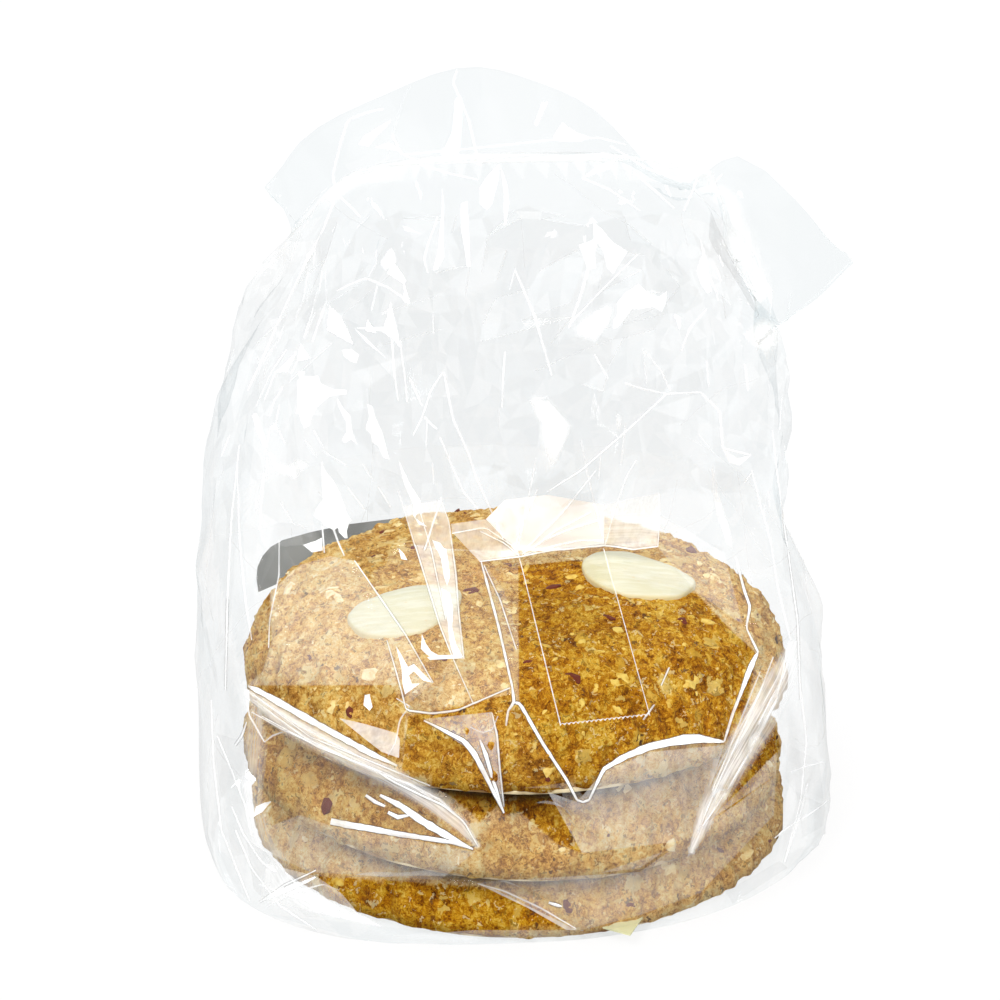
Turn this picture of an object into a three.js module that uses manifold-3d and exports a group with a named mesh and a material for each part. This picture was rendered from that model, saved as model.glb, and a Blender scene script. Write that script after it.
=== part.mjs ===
// A clear film bag that holds a stack of three round gingerbreads baked on wafers.
// The film is drawn tight over the stack, pleated down on it with a strip of clear tape,
// and rises behind the pleat to a gathered neck, where the flat mouth of the bag folds back.
// The sealed bag is one solid of its outer form. Millimetres, +Z up, the front faces -Y.

import * as THREE from 'three';
import { LoftGeometry } from 'three/addons/geometries/LoftGeometry.js';
import { mergeVertices } from 'three/addons/utils/BufferGeometryUtils.js';
import Module from 'manifold-3d';

// The stack that the film is drawn over
const STACK_RADIUS = 47;
const STACK_HEIGHT = 43.5;
const ALMOND_RISE = 3;
const FILM_TOP = STACK_HEIGHT + ALMOND_RISE;

// How far the film stands off the stack: tight in front and behind, slack at the gussets
const FRONT_SLACK = 1.3;
const BACK_SLACK = 1.8;
const GUSSET_SLACK = 7.6;
const BASE_TUCK = 2.5;

// The pleat that the tape holds down, and the gathered neck above it
const PLEAT_Y = 5;
const NECK_HEIGHT = 115;
const NECK_Y = 13.5;
const NECK_LEFT = -29.5;
const NECK_RIGHT = 33.5;
const NECK_THICKNESS = 3.4;

// The lay-flat mouth of the bag behind the neck
const MOUTH_THICKNESS = 1.2;
const MOUTH_RIPPLES = 5;
const MOUTH_RIPPLE_HEIGHT = 0.7;
const MOUTH_STEPS = 32;
const MOUTH_ROWS = 4;

// The tape strip and the paper label under the base
const TAPE_WIDTH = 15;
const TAPE_THICKNESS = 0.3;
const TAPE_DRIFT = 5.5;
const TAPE_GAP = 0.45;
const TAPE_STEPS = 26;
const LABEL_WIDTH = 56;
const LABEL_DEPTH = 62;
const LABEL_THICKNESS = 0.3;
const LABEL_GAP = 0.3;
const LABEL_CENTRE_X = 3;
const LABEL_CENTRE_Y = -5;
const LABEL_TURN_DEG = -8;

// How finely the film is faceted, round the bag and from base to neck
const AROUND = 72;
const ALONG = 44;

// How square the bag is in plan: 1 is an ellipse, less is squarer
const SQUARENESS = 0.86;

const Y_OF_FRONT = -STACK_RADIUS - FRONT_SLACK;
const Y_OF_BACK = STACK_RADIUS + BACK_SLACK;
const X_OF_GUSSET = STACK_RADIUS + GUSSET_SLACK;

// A smooth line through a few [x, y, z] points.
function smoothLine(points) {
  return new THREE.CatmullRomCurve3(points.map((p) => new THREE.Vector3(...p)));
}

// The front of the bag as far as the rim of the uppermost gingerbread.
const FRONT_FOOT = [
  [0, -STACK_RADIUS + 0.4, 0],
  [0, Y_OF_FRONT, 3],
  [0, Y_OF_FRONT, STACK_HEIGHT * 0.33],
  [0, Y_OF_FRONT, STACK_HEIGHT * 0.66],
  [0, -STACK_RADIUS + 0.5, STACK_HEIGHT - 6],
];

// At the pleat the film lies on the stack, turns up there and climbs to the neck.
function pleatedLine() {
  const line = new THREE.CurvePath();
  line.add(smoothLine([
    ...FRONT_FOOT,
    [0, -STACK_RADIUS + 8, FILM_TOP - 1.5],
    [0, -STACK_RADIUS * 0.5, FILM_TOP + 0.2],
    [0, PLEAT_Y, FILM_TOP + 0.4],
  ]));
  line.add(smoothLine([
    [0, PLEAT_Y, FILM_TOP + 0.4],
    [0, PLEAT_Y - 5, FILM_TOP + 16],
    [0, PLEAT_Y - 4, FILM_TOP + 41],
    [0, PLEAT_Y + 3, NECK_HEIGHT - 10],
    [0, NECK_Y - NECK_THICKNESS / 2, NECK_HEIGHT],
  ]));
  return line;
}

// Beside the pleat the film goes straight from the rim to the neck.
function slackLine() {
  return smoothLine([
    ...FRONT_FOOT,
    [0, -STACK_RADIUS + 7, FILM_TOP + 2],
    [0, -STACK_RADIUS + 20, FILM_TOP + 20],
    [0, -STACK_RADIUS + 36, FILM_TOP + 42],
    [0, PLEAT_Y, NECK_HEIGHT - 11],
    [0, NECK_Y - NECK_THICKNESS / 2, NECK_HEIGHT],
  ]);
}

// The back line stands up behind the stack and leans forward to the neck.
function backLine() {
  return smoothLine([
    [0, Y_OF_BACK - BASE_TUCK, 0],
    [0, Y_OF_BACK, 4],
    [0, Y_OF_BACK, STACK_HEIGHT * 0.7],
    [0, Y_OF_BACK - 2, STACK_HEIGHT + 14],
    [0, Y_OF_BACK - 12, STACK_HEIGHT + 43],
    [0, NECK_Y + 11, NECK_HEIGHT - 9],
    [0, NECK_Y + NECK_THICKNESS / 2, NECK_HEIGHT],
  ]);
}

// The two gusset lines, the bag's outline as seen from the front. The left one stands
// a little nearer at the base, because the bag is set down slightly askew.
function leftLine() {
  return smoothLine([
    [-X_OF_GUSSET + 2.5, -9, 0],
    [-X_OF_GUSSET + 0.5, -5, 5],
    [-X_OF_GUSSET + 1.4, 2, STACK_HEIGHT * 0.62],
    [-X_OF_GUSSET + 1.6, 6, STACK_HEIGHT + 2],
    [-X_OF_GUSSET + 5, 15, STACK_HEIGHT + 26],
    [-X_OF_GUSSET + 12.5, 17, STACK_HEIGHT + 44],
    [NECK_LEFT - 6.5, 15, NECK_HEIGHT - 14],
    [NECK_LEFT, NECK_Y, NECK_HEIGHT - 5.5],
  ]);
}

function rightLine() {
  return smoothLine([
    [X_OF_GUSSET - 2, 1, 0],
    [X_OF_GUSSET - 0.4, 2, 5],
    [X_OF_GUSSET - 2, 4, STACK_HEIGHT * 0.58],
    [X_OF_GUSSET - 4.4, 7, STACK_HEIGHT - 5],
    [X_OF_GUSSET - 8.6, 11, STACK_HEIGHT + 5],
    [X_OF_GUSSET - 7.8, 15, STACK_HEIGHT + 24],
    [X_OF_GUSSET - 13, 17, STACK_HEIGHT + 45],
    [NECK_RIGHT + 1.5, 15, NECK_HEIGHT - 13],
    [NECK_RIGHT, NECK_Y, NECK_HEIGHT - 4.5],
  ]);
}

const PLEATED = pleatedLine();
const SLACK = slackLine();
const BACK = backLine();
const LEFT = leftLine();
const RIGHT = rightLine();

// How far the pleat draws the front in, full about the tape and fading to both gussets.
const PLEAT_TURN = { from: 0.6, full: 0.72, ease: 0.86, to: 0.97 };
function pleatDraw(turn) {
  return THREE.MathUtils.smoothstep(turn, PLEAT_TURN.from, PLEAT_TURN.full)
    * (1 - THREE.MathUtils.smoothstep(turn, PLEAT_TURN.ease, PLEAT_TURN.to));
}

function frontPoint(turn, rise) {
  return SLACK.getPointAt(rise).lerp(PLEATED.getPointAt(rise), pleatDraw(turn));
}

// A point of the unfolded film. turn goes once round, 0 at the right gusset and 0.75 in front,
// and rise goes from 0 at the base to 1 at the neck. A hoop joins the four lines at one rise.
function smoothFilm(turn, rise) {
  const angle = turn * Math.PI * 2;
  const across = Math.cos(angle);
  const through = Math.sin(angle);
  const left = LEFT.getPointAt(rise);
  const right = RIGHT.getPointAt(rise);
  const middle = left.clone().add(right).multiplyScalar(0.5);
  const end = through < 0 ? frontPoint(turn, rise) : BACK.getPointAt(rise);
  end.x = middle.x;
  const squarer = (value) => Math.abs(value) ** SQUARENESS;
  return middle.clone()
    .addScaledVector(right.sub(middle), Math.sign(across) * squarer(across))
    .addScaledVector(end.sub(middle), squarer(through));
}

// The outward direction of the unfolded film.
function filmNormal(turn, rise) {
  const step = 0.004;
  const low = Math.max(rise - step, 0);
  const high = Math.min(rise + step, 1);
  const round = smoothFilm(turn + step, rise).sub(smoothFilm(turn - step, rise));
  const up = smoothFilm(turn, high).sub(smoothFilm(turn, low));
  return round.cross(up).normalize();
}

// Crisp folds: each family is a slanted triangle wave round the bag, between two heights.
// Over the stack a fold can only stand out, and above it the film also falls in.
const FOLDS = [
  { count: 11, slant: 0.4, height: 2.6, lift: 0.1, from: 0.52, to: 1 },
  { count: 7, slant: 3.1, height: 1.9, lift: 0.1, from: 0.46, to: 0.97 },
  { count: 6, slant: -2.6, height: 1.9, lift: 0.1, from: 0.44, to: 0.97 },
  { count: 7, slant: 2.2, height: 0.9, lift: 0.5, from: 0.04, to: 0.5 },
  { count: 11, slant: -1.7, height: 0.8, lift: 0.5, from: 0.03, to: 0.46 },
];

function triangleWave(x) {
  return 4 * Math.abs(x - Math.floor(x) - 0.5) - 1;
}

// 1 between the two ends and 0 outside, with soft shoulders.
function band(x, from, to) {
  const middle = THREE.MathUtils.clamp((x - from) / (to - from), 0, 1);
  return Math.sin(middle * Math.PI) ** 0.6;
}

// The tape keeps the film flat under it, from the front rim up to the pleat.
const TAPE_TURN = { from: 0.752, to: 0.804, reach: 0.814 };
const TAPE_RISE = { from: 0.235, to: 0.533, reach: 0.545 };
const TAPE_EASE = 0.045;
function heldFlat(turn, rise) {
  const within = (value, from, to) => THREE.MathUtils.smoothstep(value, from - TAPE_EASE, from)
    * (1 - THREE.MathUtils.smoothstep(value, to, to + TAPE_EASE));
  return within(turn, TAPE_TURN.from, TAPE_TURN.reach) * within(rise, TAPE_RISE.from, TAPE_RISE.reach);
}

// How far the folds push the film out at a point.
function foldHeight(turn, rise) {
  const sway = 0.22 * Math.sin(turn * Math.PI * 6 + 1) + 0.18 * Math.sin(rise * 17 + 2);
  let height = 0;
  for (const fold of FOLDS) {
    const wave = triangleWave(turn * fold.count + rise * fold.slant + sway);
    height += fold.height * band(rise, fold.from, fold.to) * (fold.lift + 0.5 * wave);
  }
  return height * (1 - heldFlat(turn, rise));
}

// The folded corner of the block bottom, a small ear at the right gusset.
const EAR = { turn: 0.955, rise: 0.03, halfTurn: 0.04, halfRise: 0.028, height: 2.4 };
function earHeight(turn, rise) {
  const round = 1 - Math.abs(turn - EAR.turn) / EAR.halfTurn;
  const along = 1 - Math.abs(rise - EAR.rise) / EAR.halfRise;
  return EAR.height * Math.max(0, Math.min(round, along));
}

function film(turn, rise) {
  const height = foldHeight(turn, rise) + earHeight(turn, rise);
  return smoothFilm(turn, rise).addScaledVector(filmNormal(turn, rise), height);
}

// The bag's body, lofted through its hoops from the flat base to the neck.
function bodyGeometry() {
  const hoops = [];
  for (let row = 0; row <= ALONG; row += 1) {
    const rise = row / ALONG;
    const hoop = [];
    for (let column = 0; column < AROUND; column += 1) {
      const turn = column / AROUND;
      hoop.push(row === 0 ? smoothFilm(turn, 0) : film(turn, rise));
    }
    hoops.push(hoop);
  }
  return new LoftGeometry(hoops, { capStart: true, capEnd: true });
}

// The mouth is a flat double strip: its root is held in the neck, and its free edge flares
// to a fan on the left and a flap on the right.
function mouthGeometry() {
  const root = smoothLine([
    [NECK_LEFT - 6, NECK_Y + 2, NECK_HEIGHT - 16],
    [NECK_LEFT + 2, NECK_Y, NECK_HEIGHT - 9],
    [-14, NECK_Y, NECK_HEIGHT - 5],
    [-3, NECK_Y, NECK_HEIGHT - 5],
    [8, NECK_Y, NECK_HEIGHT - 5],
    [19, NECK_Y, NECK_HEIGHT - 6.5],
    [NECK_RIGHT - 6, NECK_Y, NECK_HEIGHT - 9],
    [NECK_RIGHT - 1.5, NECK_Y, NECK_HEIGHT - 13],
    [NECK_RIGHT + 7, NECK_Y + 1, NECK_HEIGHT - 36],
  ]);
  const edge = smoothLine([
    [-42.5, 22, 107],
    [-36, 24, 114],
    [-21.5, 25, 122.6],
    [-6, 24, 127],
    [7, 23, 123.5],
    [19, 23.5, 114.5],
    [28, 25, 105.5],
    [37.4, 18.5, 113.4],
    [57.5, 18, 95],
  ]);
  const sections = [];
  for (let step = 0; step <= MOUTH_STEPS; step += 1) {
    const along = step / MOUTH_STEPS;
    const inner = root.getPoint(along);
    const outer = edge.getPoint(along);
    const across = outer.clone().sub(inner);
    const forward = edge.getTangent(along).add(root.getTangent(along));
    const thick = across.clone().cross(forward).normalize();
    const ripple = MOUTH_RIPPLE_HEIGHT * Math.sin(along * Math.PI * 2 * MOUTH_RIPPLES);
    const strip = (side) => Array.from({ length: MOUTH_ROWS + 1 }, (_, row) => {
      const out = row / MOUTH_ROWS;
      return inner.clone()
        .addScaledVector(across, out)
        .addScaledVector(thick, ripple * out + side * MOUTH_THICKNESS / 2);
    });
    sections.push([...strip(1), ...strip(-1).reverse()]);
  }
  return new LoftGeometry(sections, { capStart: true, capEnd: true });
}

// The tape follows the film from the pleat down over the stack's front rim.
function tapeGeometry() {
  const halfTurn = (TAPE_TURN.to - TAPE_TURN.from) / 2;
  const sections = [];
  for (let step = 0; step <= TAPE_STEPS; step += 1) {
    const along = step / TAPE_STEPS;
    const rise = THREE.MathUtils.lerp(TAPE_RISE.to, TAPE_RISE.from, along);
    const middle = (TAPE_TURN.from + TAPE_TURN.to) / 2;
    const centre = film(middle, rise);
    const acrossHalf = film(middle + halfTurn, rise).sub(film(middle - halfTurn, rise));
    acrossHalf.setLength(TAPE_WIDTH / 2);
    centre.x += TAPE_DRIFT * (along - 0.5);
    const out = filmNormal(middle, rise);
    const corner = (side, lift) => centre.clone()
      .addScaledVector(acrossHalf, side)
      .addScaledVector(out, TAPE_GAP + lift);
    sections.push([
      corner(-1, 0),
      corner(1, 0),
      corner(1, TAPE_THICKNESS),
      corner(-1, TAPE_THICKNESS),
    ]);
  }
  return new LoftGeometry(sections, { capStart: true, capEnd: true });
}

// A flat oblong under the base, turned a little off square.
function underBase(width, depth, height, middleHeight) {
  return new THREE.BoxGeometry(width, depth, height)
    .rotateZ(THREE.MathUtils.degToRad(LABEL_TURN_DEG))
    .translate(LABEL_CENTRE_X, LABEL_CENTRE_Y, middleHeight);
}

function labelGeometry() {
  return underBase(LABEL_WIDTH, LABEL_DEPTH, LABEL_THICKNESS, LABEL_THICKNESS / 2);
}

// The shallow place in the base that the label lies in.
function labelPlace() {
  return underBase(
    LABEL_WIDTH + 2 * LABEL_GAP,
    LABEL_DEPTH + 2 * LABEL_GAP,
    2 * (LABEL_THICKNESS + LABEL_GAP),
    0,
  );
}

const wasm = await Module();
wasm.setup();

// A closed three.js geometry as a solid that can be joined and cut.
function toSolid(geometry) {
  geometry.deleteAttribute('normal');
  geometry.deleteAttribute('uv');
  const merged = mergeVertices(geometry, 1e-3);
  return new wasm.Manifold(new wasm.Mesh({
    numProp: 3,
    vertProperties: merged.attributes.position.array,
    triVerts: new Uint32Array(merged.index.array),
  }));
}

function toGeometry(solid) {
  const mesh = solid.getMesh();
  const geometry = new THREE.BufferGeometry();
  geometry.setAttribute('position', new THREE.BufferAttribute(mesh.vertProperties, 3));
  geometry.setIndex(new THREE.BufferAttribute(mesh.triVerts, 1));
  geometry.computeVertexNormals();
  return geometry;
}

function named(name, geometry, material) {
  const mesh = new THREE.Mesh(geometry, material);
  mesh.name = name;
  return mesh;
}

const FILM_CLEAR = new THREE.MeshStandardMaterial({
  color: 0xf1f5f6, roughness: 0.12, metalness: 0, transparent: true, opacity: 0.35,
});
const TAPE_CLEAR = new THREE.MeshStandardMaterial({
  color: 0xf6f3e6, roughness: 0.2, metalness: 0, transparent: true, opacity: 0.3,
});
const LABEL_PAPER = new THREE.MeshStandardMaterial({
  color: 0xf0eaae, roughness: 0.7, metalness: 0,
});

const bag = toSolid(bodyGeometry()).add(toSolid(mouthGeometry())).subtract(toSolid(labelPlace()));

const part = new THREE.Group();
part.add(named('bag', toGeometry(bag), FILM_CLEAR));
part.add(named('tape', tapeGeometry(), TAPE_CLEAR));
part.add(named('label', labelGeometry(), LABEL_PAPER));

export default part;
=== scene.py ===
import math
import random

import bmesh
import bpy
import numpy as np
from mathutils import Matrix, Vector, noise
from mathutils.bvhtree import BVHTree


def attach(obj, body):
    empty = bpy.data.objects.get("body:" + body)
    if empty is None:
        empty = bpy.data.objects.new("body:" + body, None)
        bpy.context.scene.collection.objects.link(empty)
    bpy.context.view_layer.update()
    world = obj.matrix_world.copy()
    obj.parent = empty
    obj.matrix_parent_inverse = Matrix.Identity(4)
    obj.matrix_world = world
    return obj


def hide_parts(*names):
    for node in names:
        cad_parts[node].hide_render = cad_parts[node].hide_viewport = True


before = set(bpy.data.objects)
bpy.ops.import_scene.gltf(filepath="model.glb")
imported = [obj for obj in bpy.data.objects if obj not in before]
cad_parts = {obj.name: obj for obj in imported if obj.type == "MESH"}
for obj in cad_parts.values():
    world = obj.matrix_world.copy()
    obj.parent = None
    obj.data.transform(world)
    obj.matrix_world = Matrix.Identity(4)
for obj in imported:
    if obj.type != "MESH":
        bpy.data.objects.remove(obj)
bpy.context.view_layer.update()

MM = 0.001


# The camera stands in front of the pack, a little above it, and looks along +Y.
# Creases and pressed places of the film are told by where they show in this view.
LENS = 100.0
SENSOR = 36.0
IMAGE = 1000.0
ELEVATION = math.radians(22.0)
DISTANCE = 0.470
TARGET = np.array((-0.0025, 0.0, 0.05857))
PIXELS_PER_TAN = LENS / SENSOR * IMAGE

camera_back = np.array((0.0, -math.cos(ELEVATION), math.sin(ELEVATION)))
camera_up = np.array((0.0, math.sin(ELEVATION), math.cos(ELEVATION)))
camera_place = TARGET + DISTANCE * camera_back

camera = bpy.data.objects.new("camera", bpy.data.cameras.new("camera"))
camera.data.lens = LENS
camera.data.sensor_width = SENSOR
camera.location = camera_place
camera.rotation_euler = (math.pi / 2 - ELEVATION, 0.0, 0.0)
bpy.context.collection.objects.link(camera)
bpy.context.scene.camera = camera


def pixels(points):
    """Where points show in the image, as an array of columns and rows."""
    away = points - camera_place
    depth = -away @ camera_back
    column = IMAGE / 2 + PIXELS_PER_TAN * away[:, 0] / depth
    row = IMAGE / 2 - PIXELS_PER_TAN * (away @ camera_up) / depth
    return np.stack((column, row), axis=1)


def sight_line(column, row):
    """The direction from the camera through one pixel."""
    line = -camera_back * PIXELS_PER_TAN
    line = line + np.array((column - IMAGE / 2, 0.0, 0.0))
    line = line + camera_up * (IMAGE / 2 - row)
    return Vector(line).normalized()


# The gingerbreads: three rounds of nut dough, baked flat underneath on a wafer and crowned above.
# The crumb is rough and open, with a craggy rim, and the upper two lie a little askew.
CAKE_RADIUS = 46.6 * MM
CROWN_POWER = 5.0
SIDE_POWER = 1.8
# The outline wavers by a share of its radius, in waves of one size: all round, and finer at the rim.
BROAD_WAVER = (0.014, 0.55)
RIM_WAVER = (0.017, 0.055)
RIM_START, RIM_EASE = 0.8, 0.1
PROFILE_STEPS = 600
# The painted shadow in the gap under each gingerbread fades out this many degrees below the rim of its
# foot.
GAP_OPENING = 50.0
# The crumb's relief: how high each kind stands, in millimetres, and how large its features are.
LUMP_HEIGHT, LUMP_SIZE = 0.60, 13 * MM
CRAG_HEIGHT, CRAG_SIZE = 0.62, 4.6 * MM
GRAIN_HEIGHT, GRAIN_SIZE = 0.30, 1.7 * MM
CRUMB_HEIGHT, CRUMB_SIZE = 0.20, 0.8 * MM
CRAG_LEVEL = 0.35
# Shares of the way down, for relief that grows towards the rim and dies away at the foot.
ROUGH_START, ROUGH_EASE = 0.66, 0.2
FOOT_EASE, FOOT_KEPT = 0.008, 0.25
CAKES = {
    "gingerbread_bottom": {
        "height": 12.2 * MM, "centre": (0.8 * MM, 0.4 * MM, 1.2 * MM),
        "tilt": (0.0, 0.0), "grid": 190, "seed": 11,
    },
    "gingerbread_middle": {
        "height": 14.2 * MM, "centre": (-0.3 * MM, -0.6 * MM, 13.7 * MM),
        "tilt": (1.8, 2.5), "grid": 210, "seed": 23,
    },
    "gingerbread_top": {
        "height": 16.4 * MM, "centre": (0.2 * MM, 0.0, 28.0 * MM),
        "tilt": (0.6, 0.3), "grid": 290, "seed": 37,
    },
}


def crown_profile(radius, height, share):
    """Distance from the axis and height on the crown, for shares of the way from top to foot."""
    angle = np.linspace(0.0, math.pi / 2, PROFILE_STEPS)
    out = radius * np.sin(angle) ** (2 / CROWN_POWER)
    up = height * np.cos(angle) ** (2 / SIDE_POWER)
    way = np.concatenate(([0.0], np.cumsum(np.hypot(np.diff(out), np.diff(up)))))
    way = way / way[-1]
    return np.interp(share, way, out), np.interp(share, way, up)


def noise_of(points, size, seed):
    """Smooth noise at points, for features of one size, between about -1 and 1."""
    shifted = points / size + seed * 7.31
    return np.fromiter((noise.noise(p) for p in shifted.tolist()), float, len(shifted))


def set_attribute(mesh, name, values):
    """Stores one number for each vertex, for the piece's material to read."""
    attribute = mesh.attributes.new(name, "FLOAT", "POINT")
    attribute.data.foreach_set("value", np.asarray(values, dtype=np.float32))


def vertex_array(mesh):
    places = np.empty(len(mesh.vertices) * 3, dtype=np.float32)
    mesh.vertices.foreach_get("co", places)
    return places.reshape(-1, 3).astype(float)


def set_vertex_array(mesh, points):
    mesh.vertices.foreach_set("co", np.asarray(points, dtype=np.float32).ravel())
    mesh.update()


def normal_array(mesh):
    normals = np.empty(len(mesh.vertices) * 3, dtype=np.float32)
    mesh.vertex_normals.foreach_get("vector", normals)
    return normals.reshape(-1, 3).astype(float)


def new_piece(name, mesh):
    piece = bpy.data.objects.new(name, mesh)
    bpy.context.collection.objects.link(piece)
    return piece


def square_to_round(grid):
    """Takes a square of side 2 to the unit disc, square rings to round ones."""
    a, b = grid[:, 0], grid[:, 1]
    ring = np.maximum(np.abs(a), np.abs(b))
    wide = np.abs(a) >= np.abs(b)
    safe_a = np.where(wide & (a != 0), a, 1.0)
    safe_b = np.where(wide, 1.0, b)
    turn = np.where(wide, b / safe_a, 2 - a / safe_b) * math.pi / 4
    sign = np.where(wide, np.sign(a), np.sign(b))
    return ring, np.cos(turn) * sign, np.sin(turn) * sign


def cake_place(cake):
    """The turn and shift that lay one gingerbread in the stack."""
    forward, sideways = cake["tilt"]
    forward = Matrix.Rotation(math.radians(forward), 4, "X")
    sideways = Matrix.Rotation(math.radians(sideways), 4, "Y")
    return Matrix.Translation(cake["centre"]) @ (forward @ sideways)


def cake_grid(segments):
    """A square grid, closed underneath, that is drawn down over a crown."""
    bm = bmesh.new()
    bmesh.ops.create_grid(bm, x_segments=segments, y_segments=segments, size=1.0)
    rim = [edge for edge in bm.edges if edge.is_boundary]
    bmesh.ops.holes_fill(bm, edges=rim, sides=0)
    return bm


def crown_points(cake, grid_points, swell=0.0):
    """The grid's points on a smooth crown, swollen if asked, and each one's share of the way down."""
    share, cosine, sine = square_to_round(grid_points)
    out, up = crown_profile(1.0, cake["height"] + swell, share)
    around = np.stack((cosine, sine, np.zeros_like(sine)), axis=1)
    broad, broad_size = BROAD_WAVER
    fine, fine_size = RIM_WAVER
    at_rim = np.clip((share - RIM_START) / RIM_EASE, 0, 1)
    radius = (CAKE_RADIUS + swell) * (1 + broad * noise_of(around, broad_size, cake["seed"]))
    radius = radius + CAKE_RADIUS * fine * noise_of(around, fine_size, cake["seed"]) * at_rim
    return np.stack((out * radius * cosine, out * radius * sine, up), axis=1), share


def laid_in_stack(cake, points):
    place = np.array(cake_place(cake))
    return points @ place[:3, :3].T + place[:3, 3]


def shelter(points, cake_above):
    """How far points lie in the gap under the foot of the gingerbread above them, between 0 and 1."""
    place = np.array(cake_place(cake_above).inverted())
    local = points @ place[:3, :3].T + place[:3, 3]
    inward = CAKE_RADIUS - np.hypot(local[:, 0], local[:, 1])
    opening = np.degrees(np.arctan2(np.maximum(-local[:, 2], 0.0), inward))
    return np.clip(1 - opening / GAP_OPENING, 0, 1)


def cake_mesh(name, cake):
    """A crown roughened along its normals: lumps, crags that deepen at the rim, grains and crumbs."""
    bm = cake_grid(cake["grid"])
    mesh = bpy.data.meshes.new(name)
    bm.to_mesh(mesh)
    bm.free()
    points, share = crown_points(cake, vertex_array(mesh))
    set_vertex_array(mesh, points)
    normals = normal_array(mesh)
    seed = cake["seed"]
    rim_share = np.clip((share - ROUGH_START) / ROUGH_EASE, 0, 1)
    lumps = LUMP_HEIGHT * noise_of(points, LUMP_SIZE, seed)
    crags = CRAG_HEIGHT * (CRAG_LEVEL - np.abs(noise_of(points, CRAG_SIZE, seed + 1)))
    grains = GRAIN_HEIGHT * noise_of(points, GRAIN_SIZE, seed + 2)
    crumbs = CRUMB_HEIGHT * noise_of(points, CRUMB_SIZE, seed + 3)
    relief = lumps + crags * (1 + 1.4 * rim_share)
    relief = relief + grains * (1 + 1.2 * rim_share) + crumbs * (1 + rim_share)
    keep_foot = np.clip((1.0 - share) / FOOT_EASE, FOOT_KEPT, 1)
    points = points + normals * (relief * keep_foot * MM)[:, None]
    set_vertex_array(mesh, laid_in_stack(cake, points))
    # How deep each hollow lies, which the crumb's painted shade in its hollows reads.
    set_attribute(mesh, "hollow", -(crags + grains + crumbs))
    return mesh


# Where the film is drawn on to the gingerbreads it wets them, and the crumb shows darker and richer.
# Each pressed place is an outline in the image, in columns and rows.
PRESSED = {
    # name: how wet the crumb is, and the outline
    "under_tape_and_right": (0.95, (
        (518, 566), (576, 560), (697, 594), (730, 629), (757, 654), (743, 722),
        (722, 742), (651, 748), (607, 767), (584, 797), (563, 771), (519, 702),
    )),
    "left_wedge": (0.55, ((247, 686), (391, 685), (406, 710), (402, 765), (375, 754), (253, 690))),
    "front_rim": (0.85, ((408, 716), (511, 694), (572, 782), (506, 790), (414, 781), (402, 768))),
    "right_rim": (0.40, ((745, 560), (781, 590), (795, 640), (775, 662), (750, 629))),
    "left_edge": (0.45, ((236, 640), (252, 608), (270, 592), (272, 650), (262, 672), (245, 685))),
    "back_left": (0.45, (
        (354, 561), (340, 545), (402, 515), (409, 526), (426, 581), (440, 627), (453, 659), (433, 683),
        (405, 634), (377, 594),
    )),
    "beside_strip": (0.45, (
        (449, 505), (482, 505), (483, 562), (512, 687), (474, 703), (464, 659), (459, 615), (456, 575),
    )),
    "beside_tape": (0.48, ((483, 562), (518, 560), (519, 702), (512, 687))),
    "back_right": (0.45, ((604, 500), (700, 510), (760, 560), (745, 630), (697, 594), (576, 560))),
    "middle_wedge": (0.95, (
        (425, 782), (500, 788), (560, 788), (582, 853), (557, 844), (520, 812), (503, 815), (497, 806),
        (480, 822), (470, 812), (448, 795),
    )),
    "middle_right": (1.0, ((720, 809), (739, 775), (775, 725), (781, 748), (739, 806))),
    "middle_left": (0.50, (
        (246, 725), (276, 733), (379, 771), (456, 824), (475, 849), (383, 836), (333, 817), (290, 817),
        (255, 775),
    )),
    "bottom_left": (1.0, (
        (312, 876), (414, 882), (475, 886), (532, 897), (576, 930), (475, 940), (395, 936), (340, 908),
    )),
    "middle_front": (0.40, (
        (475, 850), (505, 812), (560, 788), (577, 802), (590, 800), (600, 872), (505, 880),
    )),
    "middle_face": (0.05, (
        (590, 800), (604, 771), (650, 750), (740, 742), (785, 720), (780, 790), (640, 870), (600, 872),
    )),
    "bottom_face": (0.40, (
        (440, 880), (640, 868), (790, 770), (790, 830), (700, 900), (580, 940), (532, 897),
    )),
}
TOUCHING = 0.5


def inside(outline, image_points):
    """True for the image points inside a closed outline."""
    column, row = image_points[:, 0], image_points[:, 1]
    found = np.zeros(len(image_points), dtype=bool)
    for (x0, y0), (x1, y1) in zip(outline, outline[1:] + outline[:1]):
        crosses = (y0 > row) != (y1 > row)
        rise = y1 - y0 if y1 != y0 else 1.0
        found ^= crosses & (column < (x1 - x0) * (row - y0) / rise + x0)
    return found


def pressed_at(points):
    """How wet the crumb is at some points, between 0 and 1."""
    image_points = pixels(points)
    found = np.zeros(len(points))
    for strength, outline in PRESSED.values():
        found = np.where(inside(outline, image_points), np.maximum(found, strength), found)
    return found


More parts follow.
